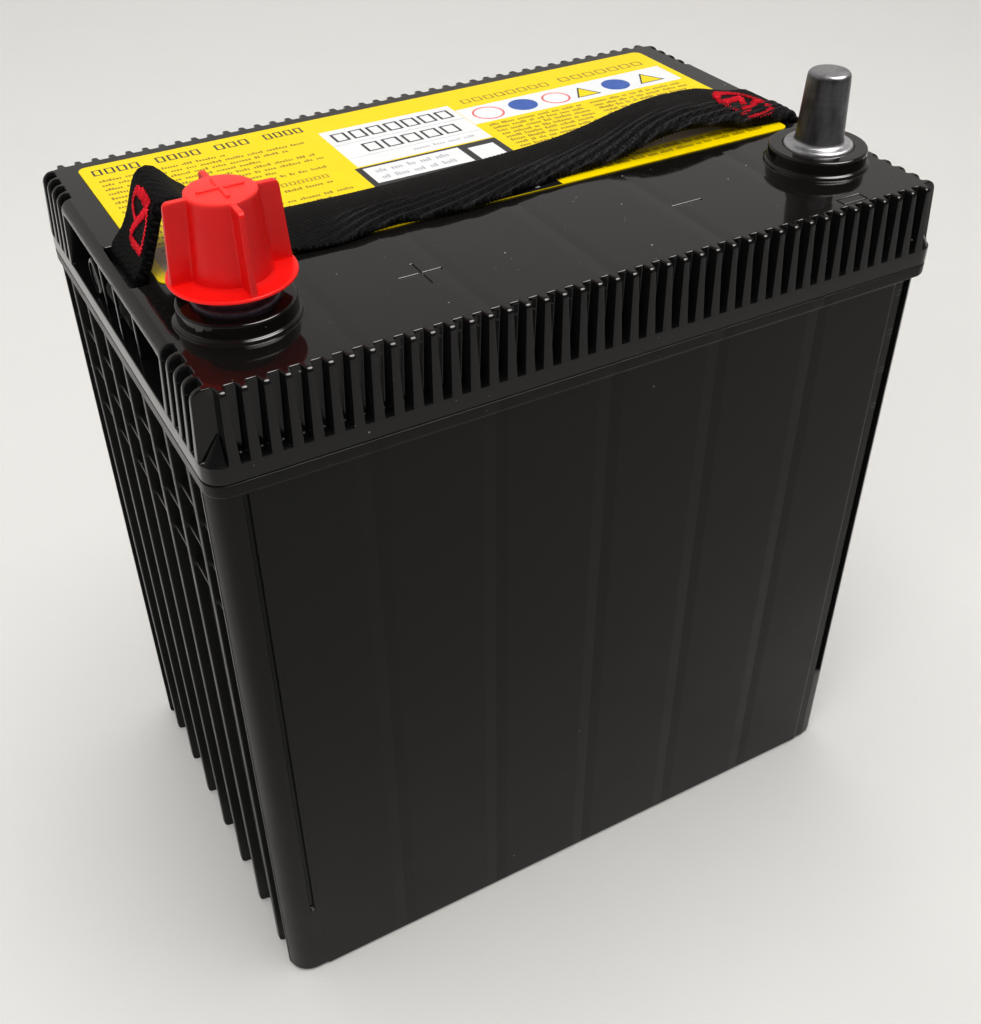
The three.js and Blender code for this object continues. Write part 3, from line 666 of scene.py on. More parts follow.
def case_levels():
    """(z, kind) of every ring."""
    body = [0.0, 0.1, 0.3, 0.6, 0.95, 1.3, 12, 27, 28.6, 28.85, 29.1, 30.6, 30.85, 31.1, 60, 100,
            125, 136]
    steps = (0.25, 0.38, 0.5, 0.6, 0.621, 0.7, 0.85, 1.0)
    for middle in CROSS_Z:
        body += [middle - h for h in steps] + [middle + h for h in steps]
        if middle < 170:
            body.append(middle + 5.9)
    levels = [(z, "body") for z in sorted(set(body)) + [176.7, 176.95, 177.2, 177.3]]
    levels += [(177.31, "shut"), (177.5, "flange")]
    levels += [(z, "flange") for z in (
        177.75, 177.95, 178.1, 178.2, 178.3, 178.4, 178.5, 178.62, 178.75, 178.9, 179.1, 180.4,
        CASE_TOP - 0.25, CASE_TOP - 0.14, CASE_TOP - 0.05, CASE_TOP)]
    return levels


def build_container():
    rings = [full_ring(z, case_quadrant(z, kind, NARROW), case_quadrant(z, kind, WIDE))
             for z, kind in case_levels()]
    case = solid("container_moulding", loft(rings))
    # six cells, with walls 1.8 thick between them
    xs = [middle_mm(f"separator_mat_{k}")[0] for k in range(1, 7)]
    half = ((xs[-1] - xs[0]) / 5 - 1.8) / 2
    cut(case, *[soft_box((x - half, x + half), (-60.2, 60.2), (4, CASE_TOP + 5), 1.2, 0.6,
                         round_top=False) for x in xs])
    # holes for the welds through the walls
    cut(case, *[lathe_x(rod(4.9, -2, 2), *middle_mm(f"intercell_weld_{k}"), 24)
                for k in range(1, 6)])
    return case


# ---------------------------------------------------------------- materials
def add_node(tree, kind, inputs, **settings):
    """New shader node; an input is a value or the socket to link from."""
    node = tree.nodes.new(kind)
    for key, value in settings.items():
        setattr(node, key, value)
    for key, value in inputs.items():
        put(tree, node.inputs[key], value)
    return node


def put(tree, socket, value):
    if hasattr(value, "is_output"):
        tree.links.new(value, socket)
    elif socket.type == "RGBA":
        socket.default_value = (*value, 1)
    else:
        socket.default_value = value


class Surface:
    """Principled material; textures use object coordinates, so they stay with their piece."""

    def __init__(self, name, roughness, metallic=0.0, specular=0.5):
        self.material = bpy.data.materials.new(name)
        self.material.use_nodes = True
        self.tree = self.material.node_tree
        self.shader = self.tree.nodes["Principled BSDF"]
        self.set("Roughness", roughness)
        self.set("Metallic", metallic)
        self.set("Specular IOR Level", specular)
        self.set("Coat Roughness", 0.06)
        self.coords = self.node("ShaderNodeTexCoord", {}).outputs["Object"]
        self.normal = None

    def node(self, kind, inputs, **settings):
        return add_node(self.tree, kind, inputs, **settings)

    def set(self, name, value):
        put(self.tree, self.shader.inputs[name], value)

    def mapping(self, scale, rotation=(0, 0, 0), source=None):
        return self.node("ShaderNodeMapping", {"Scale": scale, "Rotation": rotation,
                                               "Vector": source or self.coords}).outputs["Vector"]

    def noise(self, scale, detail=3.0, roughness=0.55, vector=None, distortion=0.0):
        return self.node("ShaderNodeTexNoise", {
            "Scale": scale, "Detail": detail, "Roughness": roughness, "Distortion": distortion,
            "Vector": vector or self.coords}).outputs["Fac"]

    def waves(self, scale, vector, distortion, direction="X"):
        return self.node("ShaderNodeTexWave", {
            "Scale": scale, "Distortion": distortion, "Vector": vector},
            bands_direction=direction).outputs["Fac"]

    def calc(self, operation, a, b=0.0, c=0.0):
        return self.node("ShaderNodeMath", {0: a, 1: b, 2: c}, operation=operation).outputs[0]

    def times(self, a, b):
        return self.calc("MULTIPLY", a, b)

    def plus(self, a, b):
        return self.calc("ADD", a, b)

    def fit(self, value, source, target=(0.0, 1.0)):
        """Map the source range onto the target range."""
        return self.node("ShaderNodeMapRange", {
            "Value": value, "From Min": source[0], "From Max": source[1],
            "To Min": target[0], "To Max": target[1]}).outputs["Result"]

    def mix(self, factor, a, b):
        return self.node("ShaderNodeMix", {0: factor, 6: a, 7: b}, data_type="RGBA").outputs[2]

    def split(self, vector=None):
        return self.node("ShaderNodeSeparateXYZ", {0: vector or self.coords}).outputs

    def varied(self, scale, low, high):
        """Value drifting between low and high."""
        return self.fit(self.noise(scale), (0.3, 0.7), (low, high))

    def bump(self, height, distance):
        """Add a bump on top of the ones before it."""
        inputs = {"Strength": 1.0, "Distance": distance, "Height": height}
        if self.normal is not None:
            inputs["Normal"] = self.normal
        self.normal = self.node("ShaderNodeBump", inputs).outputs["Normal"]
        self.set("Normal", self.normal)
        self.set("Coat Normal", self.normal)

    def dots(self, scale, radius, channel, share):
        """Small dots in a random share of the cells."""
        cells = self.node("ShaderNodeTexVoronoi", {"Scale": scale, "Vector": self.coords})
        pick = self.split(cells.outputs["Color"])[channel]
        return self.times(self.calc("LESS_THAN", cells.outputs["Distance"], radius),
                          self.calc("GREATER_THAN", pick, 1 - share))


def black_plastic(name, tone, roughness, specular, cloud_scale, dust, spread=0.05,
                  sink=0.0, wave=0.0):
    """Black plastic with pale dust; sink and wave are the depths of dips and of unevenness."""
    s = Surface(name, roughness, specular=specular)
    colour = s.mix(s.noise(cloud_scale, detail=4), [c * 0.8 for c in tone],
                   [c * 1.25 for c in tone])
    rough = s.varied(cloud_scale * 0.23, roughness - spread, roughness + spread)
    large = s.dots(scale=320, radius=0.085, channel=0, share=dust)
    small = s.dots(scale=900, radius=0.12, channel=1, share=dust * 0.6)
    specks = s.calc("MAXIMUM", large, s.times(small, 0.6))
    s.set("Base Color", s.mix(specks, colour, (0.20, 0.195, 0.185)))
    s.set("Roughness", s.calc("MAXIMUM", rough, s.times(specks, 0.7)))
    if sink:                                  # five dips, 31.1 mm apart along x
        x = s.split()[0]
        dips = None
        for k in range(-2, 3):
            away = s.calc("ABSOLUTE", s.calc("SUBTRACT", x, 0.0311 * k))
            rise = s.fit(away, (0.0, 0.0035))
            dips = rise if dips is None else s.calc("MINIMUM", dips, rise)
        s.bump(s.calc("SMOOTH_MIN", dips, 1.0, 0.3), sink)
    if wave:
        s.bump(s.noise(22, detail=2), wave)
    # polished faces carry a finer grain
    s.bump(s.noise(2600, detail=2), 0.000012 if roughness > 0.2 else 0.0000015)
    return s.material


def cap_red():
    s = Surface("cap_red", 0.36, specular=0.3)
    cloud = s.noise(130, detail=4)
    z = s.split()[2]
    # painted light: the flange and the top of the cap are coloured a lighter red where the light
    # falls on them
    rim = s.fit(z, (0.2130, 0.2138), (1.0, 0.0))
    lit_top = s.fit(z, (0.2302, 0.2312))
    body = s.mix(cloud, (0.58, 0.002, 0.002), (0.70, 0.005, 0.005))
    flange = s.mix(rim, body, (0.98, 0.010, 0.007))
    s.set("Base Color", s.mix(lit_top, flange, (0.88, 0.035, 0.028)))
    s.set("Roughness", s.varied(900, 0.3, 0.42))
    s.set("Subsurface Weight", 0.15)
    s.set("Subsurface Radius", (1.0, 0.12, 0.08))
    s.set("Subsurface Scale", 0.0025)
    s.bump(s.noise(55, detail=2), 0.00025)
    s.bump(s.noise(1800, detail=2), 0.00001)
    return s.material


def lead(name, dark, light, metallic, rough_span, grain=0.00006, highlight_colour=None):
    s = Surface(name, 0.4, metallic)
    clouds = s.noise(95, detail=5, roughness=0.6, distortion=1.2)
    streaks = s.noise(700, roughness=0.6, vector=s.mapping((1, 1, 0.16)))
    rings = s.noise(420, detail=2, roughness=0.5, vector=s.mapping((0.05, 0.05, 1.6)))
    mixed = s.plus(s.times(clouds, 0.6), s.times(streaks, 0.4))
    colour = s.mix(s.fit(mixed, (0.34, 0.66)), dark, light)
    if highlight_colour:                           # painted highlight: the collar and the top are coloured brighter, where they catch the light
        z = s.split()[2]
        highlight_mask = s.calc("MAXIMUM", s.fit(z, (0.2094, 0.2088)),
                      s.fit(z, (0.2254, 0.2262), (0.0, 0.6)))
        patches = s.fit(clouds, (0.3, 0.7), (0.55, 1.0))
        colour = s.mix(s.times(highlight_mask, patches), colour, highlight_colour)
    s.set("Base Color", colour)
    s.set("Roughness", s.fit(s.plus(streaks, s.times(clouds, 0.5)), (0.5, 1.0), rough_span))
    s.bump(rings, grain)
    s.bump(s.noise(1500), grain * 0.5)
    return s.material


def film(name, dark, light, roughness=0.22, specular=0.42):
    s = Surface(name, roughness, specular=specular)
    s.set("Base Color", s.mix(s.noise(160, detail=4), dark, light))
    s.set("Roughness", s.varied(60, roughness - 0.06, roughness + 0.08))
    s.bump(s.noise(40, detail=2), 0.00012)
    s.bump(s.noise(1400, detail=2), 0.000004)
    return s.material


def webbing_black():
    """Fine twill over the modelled ribs, with painted highlights on the rib crests."""
    s = Surface("webbing_black", 0.6, specular=0.07)
    uv = s.node("ShaderNodeUVMap", {}, uv_map="weave").outputs[0]

    def twill(scale, degrees, distortion):
        turned = s.mapping((100, 100, 1), (0, 0, math.radians(degrees)), uv)
        return s.waves(scale, turned, distortion)

    coarse = s.plus(s.times(twill(0.34, 66, 0.6), 0.7), 0.3)
    cross = s.plus(s.times(twill(0.26, -24, 0.5), 0.6), 0.4)
    fuzz = s.noise(2400)
    weave = s.plus(s.times(coarse, cross), s.times(fuzz, 0.3))
    # the painted crest highlights follow the rib pattern of web_height; the UVs count in 100 mm
    along, across, _ = s.split(uv)
    phase = s.calc("SUBTRACT", s.times(across, 100 * math.cos(RIB_TURN) / RIB_PITCH),
                   s.times(along, 100 * math.sin(RIB_TURN) / RIB_PITCH))
    lit_crest = s.fit(s.calc("COSINE", s.times(phase, 2 * math.pi)), (0.1, 1.0))
    front_only = s.times(lit_crest, s.fit(across, (0.082, 0.098), (1.0, 0.0)))
    lit_crest = s.times(front_only, s.fit(along, (0.66, 0.75)))
    thread = s.mix(s.fit(weave, (0.35, 1.15)), (0.0004, 0.0004, 0.0005),
                   (0.0046, 0.0043, 0.0044))
    crest_highlight = s.times(lit_crest, s.fit(weave, (0.3, 1.0), (0.35, 1.0)))
    s.set("Base Color", s.mix(crest_highlight, thread, (0.026, 0.025, 0.026)))
    s.set("Roughness", s.fit(fuzz, (0.3, 0.7), (0.5, 0.75)))
    s.bump(weave, 0.0004)
    return s.material


def stitch_red():
    s = Surface("stitch_red", 0.6, specular=0.3)
    twist = s.waves(520, s.mapping((1, 1, 1), (0.6, 0.5, 0.7)), 1.0, direction="DIAGONAL")
    tone = s.plus(s.times(twist, 0.6), s.times(s.noise(2500), 0.4))
    s.set("Base Color", s.mix(tone, (0.55, 0.0, 0.010), (1.0, 0.018, 0.04)))
    s.bump(twist, 0.00012)
    return s.material


def matte(name, dark, light, scale, roughness, bump, stretch=None):
    s = Surface(name, roughness, specular=0.3)
    grain = s.noise(scale, detail=5, roughness=0.62, vector=stretch and s.mapping(stretch))
    s.set("Base Color", s.mix(s.fit(grain, (0.32, 0.68)), dark, light))
    s.set("Roughness", s.varied(scale * 0.6, roughness - 0.08, roughness + 0.08))
    s.bump(grain, bump)
    return s.material


def floor_paper():
    """Pale paper, with painted shade that only glossy rays see, darker towards the front, from y =
    -0.06 to -0.14.
    """
    s = Surface("floor_paper", 0.6, specular=0.12)
    y = s.split()[1]
    glossy = s.node("ShaderNodeLightPath", {}).outputs["Is Glossy Ray"]
    # painted shade in the reflections of the floor
    near = s.times(glossy, s.fit(y, (-0.06, -0.14)))
    paper = s.mix(s.noise(14, detail=5, roughness=0.6), (0.722, 0.712, 0.696),
                  (0.752, 0.741, 0.724))
    s.set("Base Color", s.mix(s.times(near, 0.5), paper, (0.12, 0.115, 0.11)))
    s.bump(s.noise(900), 0.00005)
    return s.material


materials = {
    "case": black_plastic("case_black", (0.0064, 0.0061, 0.0058), roughness=0.33, specular=0.17,
                          cloud_scale=300, dust=0.012, sink=0.00025, wave=0.00035),
    "lid": black_plastic("lid_black", (0.0052, 0.0047, 0.0042), roughness=0.075, specular=0.5,
                         cloud_scale=240, dust=0.05, spread=0.02, sink=0.00008, wave=0.00012),
    "lid_ribs": black_plastic("lid_ribs_black", (0.0042, 0.0040, 0.0040), roughness=0.13,
                              specular=0.38, cloud_scale=240, dust=0.012),
    "cover": black_plastic("cover_black", (0.006, 0.006, 0.0065), roughness=0.3, specular=0.4,
                           cloud_scale=300, dust=0.02),
    "cap": cap_red(),
    "lead_post": lead("lead_terminal", (0.034, 0.033, 0.037), (0.15, 0.148, 0.158),
                      metallic=0.85, rough_span=(0.26, 0.46), highlight_colour=(0.60, 0.605, 0.63)),
    "lead_dark": lead("lead_terminal_tinted", (0.045, 0.032, 0.045), (0.13, 0.10, 0.13),
                      metallic=0.75, rough_span=(0.28, 0.45)),
    "lead_inner": lead("lead_cast_inner", (0.16, 0.165, 0.18), (0.34, 0.345, 0.36),
                       metallic=0.85, rough_span=(0.42, 0.62), grain=0.0001),
    "yellow": film("film_yellow", (0.82, 0.60, 0.0), (0.90, 0.67, 0.0), 0.26, 0.12),
    "white": film("film_white", (0.74, 0.75, 0.76), (0.84, 0.85, 0.86)),
    "black": film("film_black", (0.006, 0.006, 0.007), (0.014, 0.014, 0.015), 0.12, 0.5),
    "ink": film("ink_black", (0.012, 0.012, 0.012), (0.03, 0.03, 0.03), 0.3, 0.3),
    "ink_brown": film("ink_on_yellow", (0.20, 0.125, 0.002), (0.34, 0.22, 0.003), 0.28, 0.3),
    "ink_grey": film("ink_grey", (0.35, 0.36, 0.38), (0.50, 0.51, 0.53), 0.28, 0.3),
    "red": film("ink_red", (0.70, 0.10, 0.10), (0.82, 0.17, 0.16), 0.28, 0.3),
    "blue": film("ink_blue", (0.02, 0.07, 0.32), (0.04, 0.12, 0.44), 0.28, 0.3),
    "beige": film("film_beige", (0.46, 0.32, 0.19), (0.60, 0.44, 0.28), 0.3, 0.2),
    "webbing": webbing_black(),
    "stitch": stitch_red(),
    "positive_paste": matte("paste_positive", (0.045, 0.014, 0.007), (0.105, 0.038, 0.018),
                            scale=900, roughness=0.85, bump=0.00012),
    "negative_paste": matte("paste_negative", (0.10, 0.11, 0.12), (0.21, 0.22, 0.235),
                            scale=900, roughness=0.78, bump=0.0001),
    "glass_mat": matte("glass_fibre_mat", (0.66, 0.67, 0.66), (0.85, 0.86, 0.85),
                       scale=700, roughness=0.95, bump=0.0002, stretch=(1, 0.3, 0.3)),
    "rubber": matte("valve_rubber_black", (0.008, 0.008, 0.009), (0.02, 0.02, 0.022),
                    scale=1200, roughness=0.6, bump=0.00003),
    "filter": matte("filter_sintered", (0.035, 0.035, 0.036), (0.075, 0.075, 0.075),
                    scale=2600, roughness=0.9, bump=0.0002),
    "floor": floor_paper(),
}

# ---------------------------------------------------------------- place container and lid
container = build_container()
dress(container, [materials["case"]])
settle(container, "container")

lid = build_lid()
dress(lid, [materials["lid"], materials["lid_ribs"]])
settle(lid, "lid", sharp=32.0)
# plate and bosses are polished; ribs, skirt and underside are satin
centres = np.empty(len(lid.data.polygons) * 3)
lid.data.polygons.foreach_get("center", centres)
cx, cy, cz = (centres.reshape(-1, 3) * 1000).T
outer = (np.abs(cx) > 94.3) | (np.abs(cy) > 60.85)
satin_faces = (cz < PLATE_TOP - 0.02) & (outer | (cz < 201.0))
lid.data.polygons.foreach_set("material_index", satin_faces.astype(np.int32))

# ---------------------------------------------------------------- terminals (mm)
# offsets from the collar's radius and top, then from the post's foot radius and the collar top
COLLAR_EDGE = [(0, -0.75), (-0.06, -0.5), (-0.22, -0.24), (-0.48, -0.07), (-0.8, 0)]
POST_FOOT = [(1.0, 0.03), (0.6, 0.16), (0.25, 0.48), (0.05, 1.05)]


def build_post(pole, x, y, top, foot_r, top_r, collar_r, collar_top, shank_r, edge_r, mat):
    """Tapered lead post with a collar, bored out below for its pillar."""
    node = f"{pole}_post"
    low = box_mm(node)[0][2]
    profile = [(0, low), (shank_r - 0.3, low), (shank_r, low + 0.3), (shank_r, BOSS_TOP - 0.95),
               (collar_r - 0.05, BOSS_TOP - 0.95), (collar_r, BOSS_TOP - 0.8)]
    profile += shifted(COLLAR_EDGE, collar_r, collar_top) + shifted(POST_FOOT, foot_r, collar_top)
    profile += [(foot_r + (top_r - foot_r) * t, collar_top + (top - collar_top) * t)
                for t in (0.1, 0.3, 0.5, 0.7, 0.85)]
    for k in range(6):
        a = math.pi / 2 * k / 5
        profile.append((top_r - edge_r + edge_r * math.cos(a), top - edge_r + edge_r * math.sin(a)))
    profile += [(top_r - edge_r - 0.6, top + 0.01), (1.0, top - 0.05), (0, top - 0.06)]
    ob = solid(f"{pole}_terminal", lathe(profile, x, y, 96))
    pillar_low, pillar_high = box_mm(f"{pole}_pillar")
    # the pillar's foot is 1.6 wider than its shank, and the bore clears the shank by 0.2
    bore_r = (pillar_high[0] - pillar_low[0]) / 2 - 1.6 + 0.2
    cut(ob, lathe(rod(bore_r, low - 2, pillar_high[2] + 0.15), x, y, 48))
    dress(ob, [mat])
    settle(ob, node, sharp=40.0)


build_post("negative", NEG_X, NEG_Y, top=POST_TOP - 0.6, foot_r=6.15, top_r=5.35, collar_r=8.8,
           collar_top=208.3, shank_r=7.0, edge_r=1.25, mat=materials["lead_post"])
build_post("positive", POS_X, POS_Y, top=POST_TOP, foot_r=7.4, top_r=6.4, collar_r=9.65,
           collar_top=208.6, shank_r=8.2, edge_r=0.8, mat=materials["lead_dark"])

# ---------------------------------------------------------------- red slip-on cap (mm)
CAP_BOTTOM = cap_low[2]
CAP_TOP = cap_high[2] - 0.8
WING_TOP = CAP_TOP - 0.25
CAP_FLANGE = [                                # radius, height over the cap's bottom
    (0, 0.02), (9.0, 0.02), (12.4, 0.1), (13.4, 0.24), (13.7, 0.38), (13.8, 0.62), (13.74, 0.86),
    (13.55, 1.02), (13.2, 1.08), (12.2, 1.0), (10.5, 0.9), (9.4, 0.98), (8.9, 1.3), (0, 1.3)]
CAP_CROWN = [                                 # radius, height over the cap's top
    (0, -1.6), (7.42, -1.6), (7.4, -0.42), (7.34, -0.2), (7.18, -0.05), (6.9, 0.02), (5.5, 0.12),
    (3.0, 0.2), (0.6, 0.22), (0, 0.22)]
CAP_BORE = [                                  # radius, z
    (0, CAP_BOTTOM - 1), (8.1, CAP_BOTTOM - 1), (7.85, CAP_BOTTOM + 0.25),
    (7.62, CAP_BOTTOM + 0.7), (6.85, 227.4), (6.55, 227.75), (0, 227.8)]
WING_Z = [CAP_BOTTOM + 0.9, CAP_BOTTOM + 1.2, CAP_BOTTOM + 1.6, 217, 220, 223, 226, 228.5]
WING_Z += [WING_TOP - drop for drop in (1.3, 0.95, 0.65, 0.4, 0.2, 0.08, 0)]
RIDGE_LEVELS = [(CAP_TOP + rise, -inset) for rise, inset in (
    (-0.4, 0.0), (0.42, 0.0), (0.56, 0.06), (0.64, 0.18), (0.68, 0.32))]


def wing_section(body_r, wing_r, half, fillet, tip=0.28):
    """A round body with four wings of half thickness `half`, filleted at their roots."""
    wing_r = max(wing_r, body_r + fillet + 0.12)
    # an eighth of the outline, from a wing's end to 45 degrees
    eighth = []
    for degrees in (0, 30, 60, 90):
        a = math.radians(degrees)
        eighth.append((wing_r - tip + tip * math.cos(a), (half - tip) + tip * math.sin(a)))
    side = math.sqrt(body_r * body_r - half * half)
    root = side + fillet * 0.95
    eighth += [(wing_r - tip + (root - wing_r + tip) * t, half) for t in (0.25, 0.5, 0.75)]
    first = math.atan2(half + fillet, math.sqrt(body_r ** 2 - (half + fillet) ** 2))
    end = (body_r * math.cos(first), body_r * math.sin(first))
    curve = list(zip((root, half), (side - 0.02, half + 0.02), end))
    for t in (0.0, 0.3, 0.6, 0.85, 1.0):
        eighth.append(tuple((1 - t) ** 2 * a + 2 * t * (1 - t) * b + t * t * c
                            for a, b, c in curve))
    for k in range(1, 9):
        a = first + (math.pi / 4 - first) * k / 8
        eighth.append((body_r * math.cos(a), body_r * math.sin(a)))
    quarter_ring = eighth + [(y, x) for x, y in eighth[::-1]][1:]
    ring = []
    for k in range(4):
        c, s = math.cos(k * math.pi / 2), math.sin(k * math.pi / 2)
        ring += [(x * c - y * s, x * s + y * c) for x, y in quarter_ring]
    return ring


def build_cap():
    ob = solid("cap_shell", lathe(shifted(CAP_FLANGE, 0, CAP_BOTTOM), POS_X, POS_Y, 128))
    rings = []
    for z in WING_Z:
        t = (z - CAP_BOTTOM) / (CAP_TOP - CAP_BOTTOM)
        body_r = 8.75 + (7.45 - 8.75) * t
        wing_r = 13.4 + (12.1 - 13.4) * t - 1.3 * quarter((z - (WING_TOP - 1.3)) / 1.3)
        half = 0.74 - 0.06 * t - 0.24 * quarter((z - (WING_TOP - 0.28)) / 0.28)
        fillet = 0.55 if z > CAP_BOTTOM + 1.4 else 0.8
        rings.append([(POS_X + x, POS_Y + y, z)
                      for x, y in wing_section(body_r, wing_r, half, fillet)])
    join(ob, loft(rings))
    join(ob, lathe(shifted(CAP_CROWN, 0, CAP_TOP), POS_X, POS_Y, 96))
    # two crossing ridges on the crown
    for half_x, half_y in ((5.1, 0.5), (0.5, 5.1)):
        join(ob, rect_stack((POS_X - half_x, POS_X + half_x), (POS_Y - half_y, POS_Y + half_y),
                            0.45, RIDGE_LEVELS))
    cut(ob, lathe(CAP_BORE, POS_X, POS_Y, 96))
    return ob


cap = build_cap()
dress(cap, [materials["cap"]])
settle(cap, "terminal_cap", sharp=42.0, body="cap")

# ---------------------------------------------------------------- printed film on the lid (mm)
INKS = ["yellow", "white", "black", "ink", "ink_brown", "ink_grey", "red", "blue", "beige"]
LINE_PITCH = 2.95
PANEL = (-24.9, 15.2, 20.2, 46.6)             # white panel: x0, x1, y0, y1


class Print:
    """Inked regions as (outline, ink); the last one drawn wins."""

    def __init__(self):
        self.regions = []

    def poly(self, points, ink):
        self.regions.append((points, ink))

    def rect(self, x0, x1, y0, y1, ink, corner=0.0):
        plain = [(x0, y0), (x1, y0), (x1, y1), (x0, y1)]
        self.poly(rounded_rect((x0, x1), (y0, y1), corner, 2) if corner else plain, ink)

    def disc(self, cx, cy, r, ink, n=28):
        angles = [2 * math.pi * k / n for k in range(n)]
        self.poly([(cx + r * math.cos(a), cy + r * math.sin(a)) for a in angles], ink)

    def dashes(self, x, end, y, height, ink, words=(2, 8), gap=0.95):
        """A row of short dashes, grouped like words, in place of small print."""
        while x < end - 1.5:
            for _ in range(int(rng.integers(*words))):
                width = rng.uniform(0.42, 0.7)
                if x + width > end:
                    break
                up = height * rng.choice([0.0, 0.0, 0.0, 0.45])
                self.rect(x, x + width, y - height / 2, y + height / 2 + up, ink)
                x += width + 0.24
            x += gap

    def heading(self, x0, x1, y, height, count, ink, gap, wall):
        """A row of hollow boxes in place of large letters."""
        pitch, edge = (x1 - x0) / count, height * wall
        for k in range(count):
            a, b = x0 + k * pitch, x0 + (k + 1 - gap) * pitch
            self.rect(a, b, y - height / 2, y + height / 2, ink)
            if b - a > 2.6 * edge:
                on_panel = PANEL[0] <= a <= PANEL[1] and PANEL[2] <= y <= PANEL[3]
                self.rect(a + edge, b - edge, y - height / 2 + edge * 0.8,
                          y + height / 2 - edge * 0.8, "white" if on_panel else "yellow")


def print_left(p):
    for x0, x1, count in ((-86.2, -73.0, 4), (-69.2, -56.4, 4), (-52.8, -42.6, 3),
                          (-38.8, -27.0, 4)):
        p.heading(x0, x1, 51.7, 3.7, count, "ink", gap=0.24, wall=0.15)
    for k, end in enumerate((-52, -30, -36, -45, -31, -30, -42, -30)):
        p.dashes(-86, end, 45.6 - LINE_PITCH * k, 1.0, "ink_brown")
    p.heading(-60, -33, 19.6, 2.1, 12, "ink_brown", gap=0.26, wall=0.18)
    for k, end in enumerate((-33, -49, -31, -36, -30, -52)):
        p.dashes(-86, end, 15.6 - LINE_PITCH * k, 1.0, "ink_brown")
    p.rect(-86.5, -30, -12.6, 2.2, "beige", 0.8)
    for y in (-9.6, -6.4, -3.2, 0.0):
        p.dashes(-84, -33, y, 1.0, "ink_brown")


def print_middle(p):
    """Black field with the white panel and two white boxes."""
    x0, x1 = PANEL[:2]
    p.rect(-26.2, 15.4, label_low[1], 19.6, "black")
    p.rect(*PANEL, "white")
    p.rect(x0, x1, 35.9, 36.15, "ink_grey")
    p.heading(-22.8, 14.4, 41.1, 5.8, 7, "ink", gap=0.2, wall=0.13)
    p.heading(-18.0, 11.6, 31.1, 5.8, 5, "ink", gap=0.2, wall=0.13)
    p.rect(x0, x1, 26.2, 26.4, "ink_grey")
    p.dashes(-7, 13, 23.4, 0.9, "ink_grey")
    p.rect(-24.4, 3.5, 8.6, 18.6, "white")
    for y in (15.4, 11.2):
        p.dashes(-22, 1.5, y, 1.5, "ink_grey", words=(3, 6), gap=1.4)
    p.rect(5.6, 13.3, 8.4, 16.8, "white")
    for x, width in ((-3.2, 1.0), (1.8, 2.6), (8.2, 1.4)):
        p.rect(x, x + width, -14.2, -13.3, "white", 0.3)
    p.disc(-0.8, -13.9, 0.75, "white", 14)


def print_right(p):
    p.heading(20, 50, 47.0, 3.0, 8, "ink_brown", gap=0.24, wall=0.17)
    p.heading(53.5, 84, 47.7, 3.2, 7, "ink_brown", gap=0.24, wall=0.17)
    p.poly([(15.4, 30.2), (85.6, 30.2), (85.6, 43.0), (15.4, 42.2)], "white")
    # a row of round and triangular signs
    p.disc(22.8, 36.0, 4.7, "red")
    p.disc(22.8, 36.0, 4.05, "white")
    p.disc(34.4, 36.4, 4.3, "blue")
    p.disc(45.2, 36.0, 4.3, "red")
    p.disc(45.2, 36.0, 3.65, "white")
    p.poly([(50.6, 32.6), (58.8, 32.6), (54.7, 39.8)], "ink")
    p.poly([(51.4, 33.05), (58.0, 33.05), (54.7, 38.85)], "yellow")
    p.disc(66.0, 36.2, 4.3, "blue")
    p.poly([(72.6, 32.6), (81.2, 32.6), (76.9, 40.0)], "ink")
    p.poly([(73.4, 33.05), (80.4, 33.05), (76.9, 39.05)], "yellow")
    for y in (27.6, 25.2, 22.8, 20.4, 18.0, 15.6, 13.2, 10.8):
        p.dashes(18.5, 48.5, y, 1.05, "ink_brown")
        p.dashes(51.5, 84.0, y, 1.05, "ink_brown")
    p.rect(38, 84.5, -7.2, 6.5, "beige", 0.8)
    p.dashes(18, 84, -9.2, 1.3, "ink_brown")
    p.dashes(18, 84, -11.9, 1.1, "ink_brown")


def inside(outline, points):
    """Which 2D points lie within a closed outline."""
    result = np.zeros(len(points), bool)
    px, py = points.T
    for (xi, yi), (xj, yj) in zip(outline, [outline[-1], *outline[:-1]]):
        if yi != yj:
            result ^= ((yi > py) != (yj > py)) & (px < (xj - xi) * (py - yi) / (yj - yi) + xi)
    return result


def build_label():
    """The film as a thin sheet, split along every inked outline."""
    p = Print()
    print_left(p)
    print_middle(p)
    print_right(p)
    (x0, y0, z0), (x1, y1, z1) = label_low, label_high
    edge = rounded_rect((x0, x1), (y0, y1), 2.4, 8)
    points, edges = [], []
    for ring in [edge] + [outline for outline, _ in p.regions]:
        base = len(points)
        points += [Vector((float(min(max(x, x0), x1)), float(min(max(y, y0), y1))))
                   for x, y in ring]
        edges += [(base + i, base + (i + 1) % len(ring)) for i in range(len(ring))]
    split = delaunay_2d_cdt(points, edges, [], 1, 1e-4)
    flat = np.array([(v.x, v.y) for v in split[0]])
    faces = [tuple(f) for f in split[2]]
    centres = np.array([flat[list(f)].mean(0) for f in faces])
    inks = np.zeros(len(faces), int)
    for outline, ink in p.regions:
        inks[inside(outline, centres)] = INKS.index(ink)
    keep = inside(edge, centres)
    faces = [f for f, k in zip(faces, keep) if k]
    # the rim closes every edge that has a face on one side only
    sides = dict.fromkeys((f[i], f[(i + 1) % len(f)]) for f in faces for i in range(len(f)))
    rim = [(a, b) for a, b in sides if (b, a) not in sides]
    n = len(flat)
    verts = np.concatenate([np.c_[flat, np.full(n, z1)], np.c_[flat, np.full(n, z0)]])
    under = [tuple(i + n for i in f[::-1]) for f in faces]
    under += [(b, a, a + n, b + n) for a, b in rim]
    ob = make_object("printed_film", verts, faces + under, [materials[k] for k in INKS],
                     np.concatenate([inks[keep], np.zeros(len(under), int)]))
    with editing(ob) as bm:
        bmesh.ops.delete(bm, geom=[v for v in bm.verts if not v.link_faces], context="VERTS")
    return ob


settle(build_label(), "top_label", sharp=30.0, weighted=False)

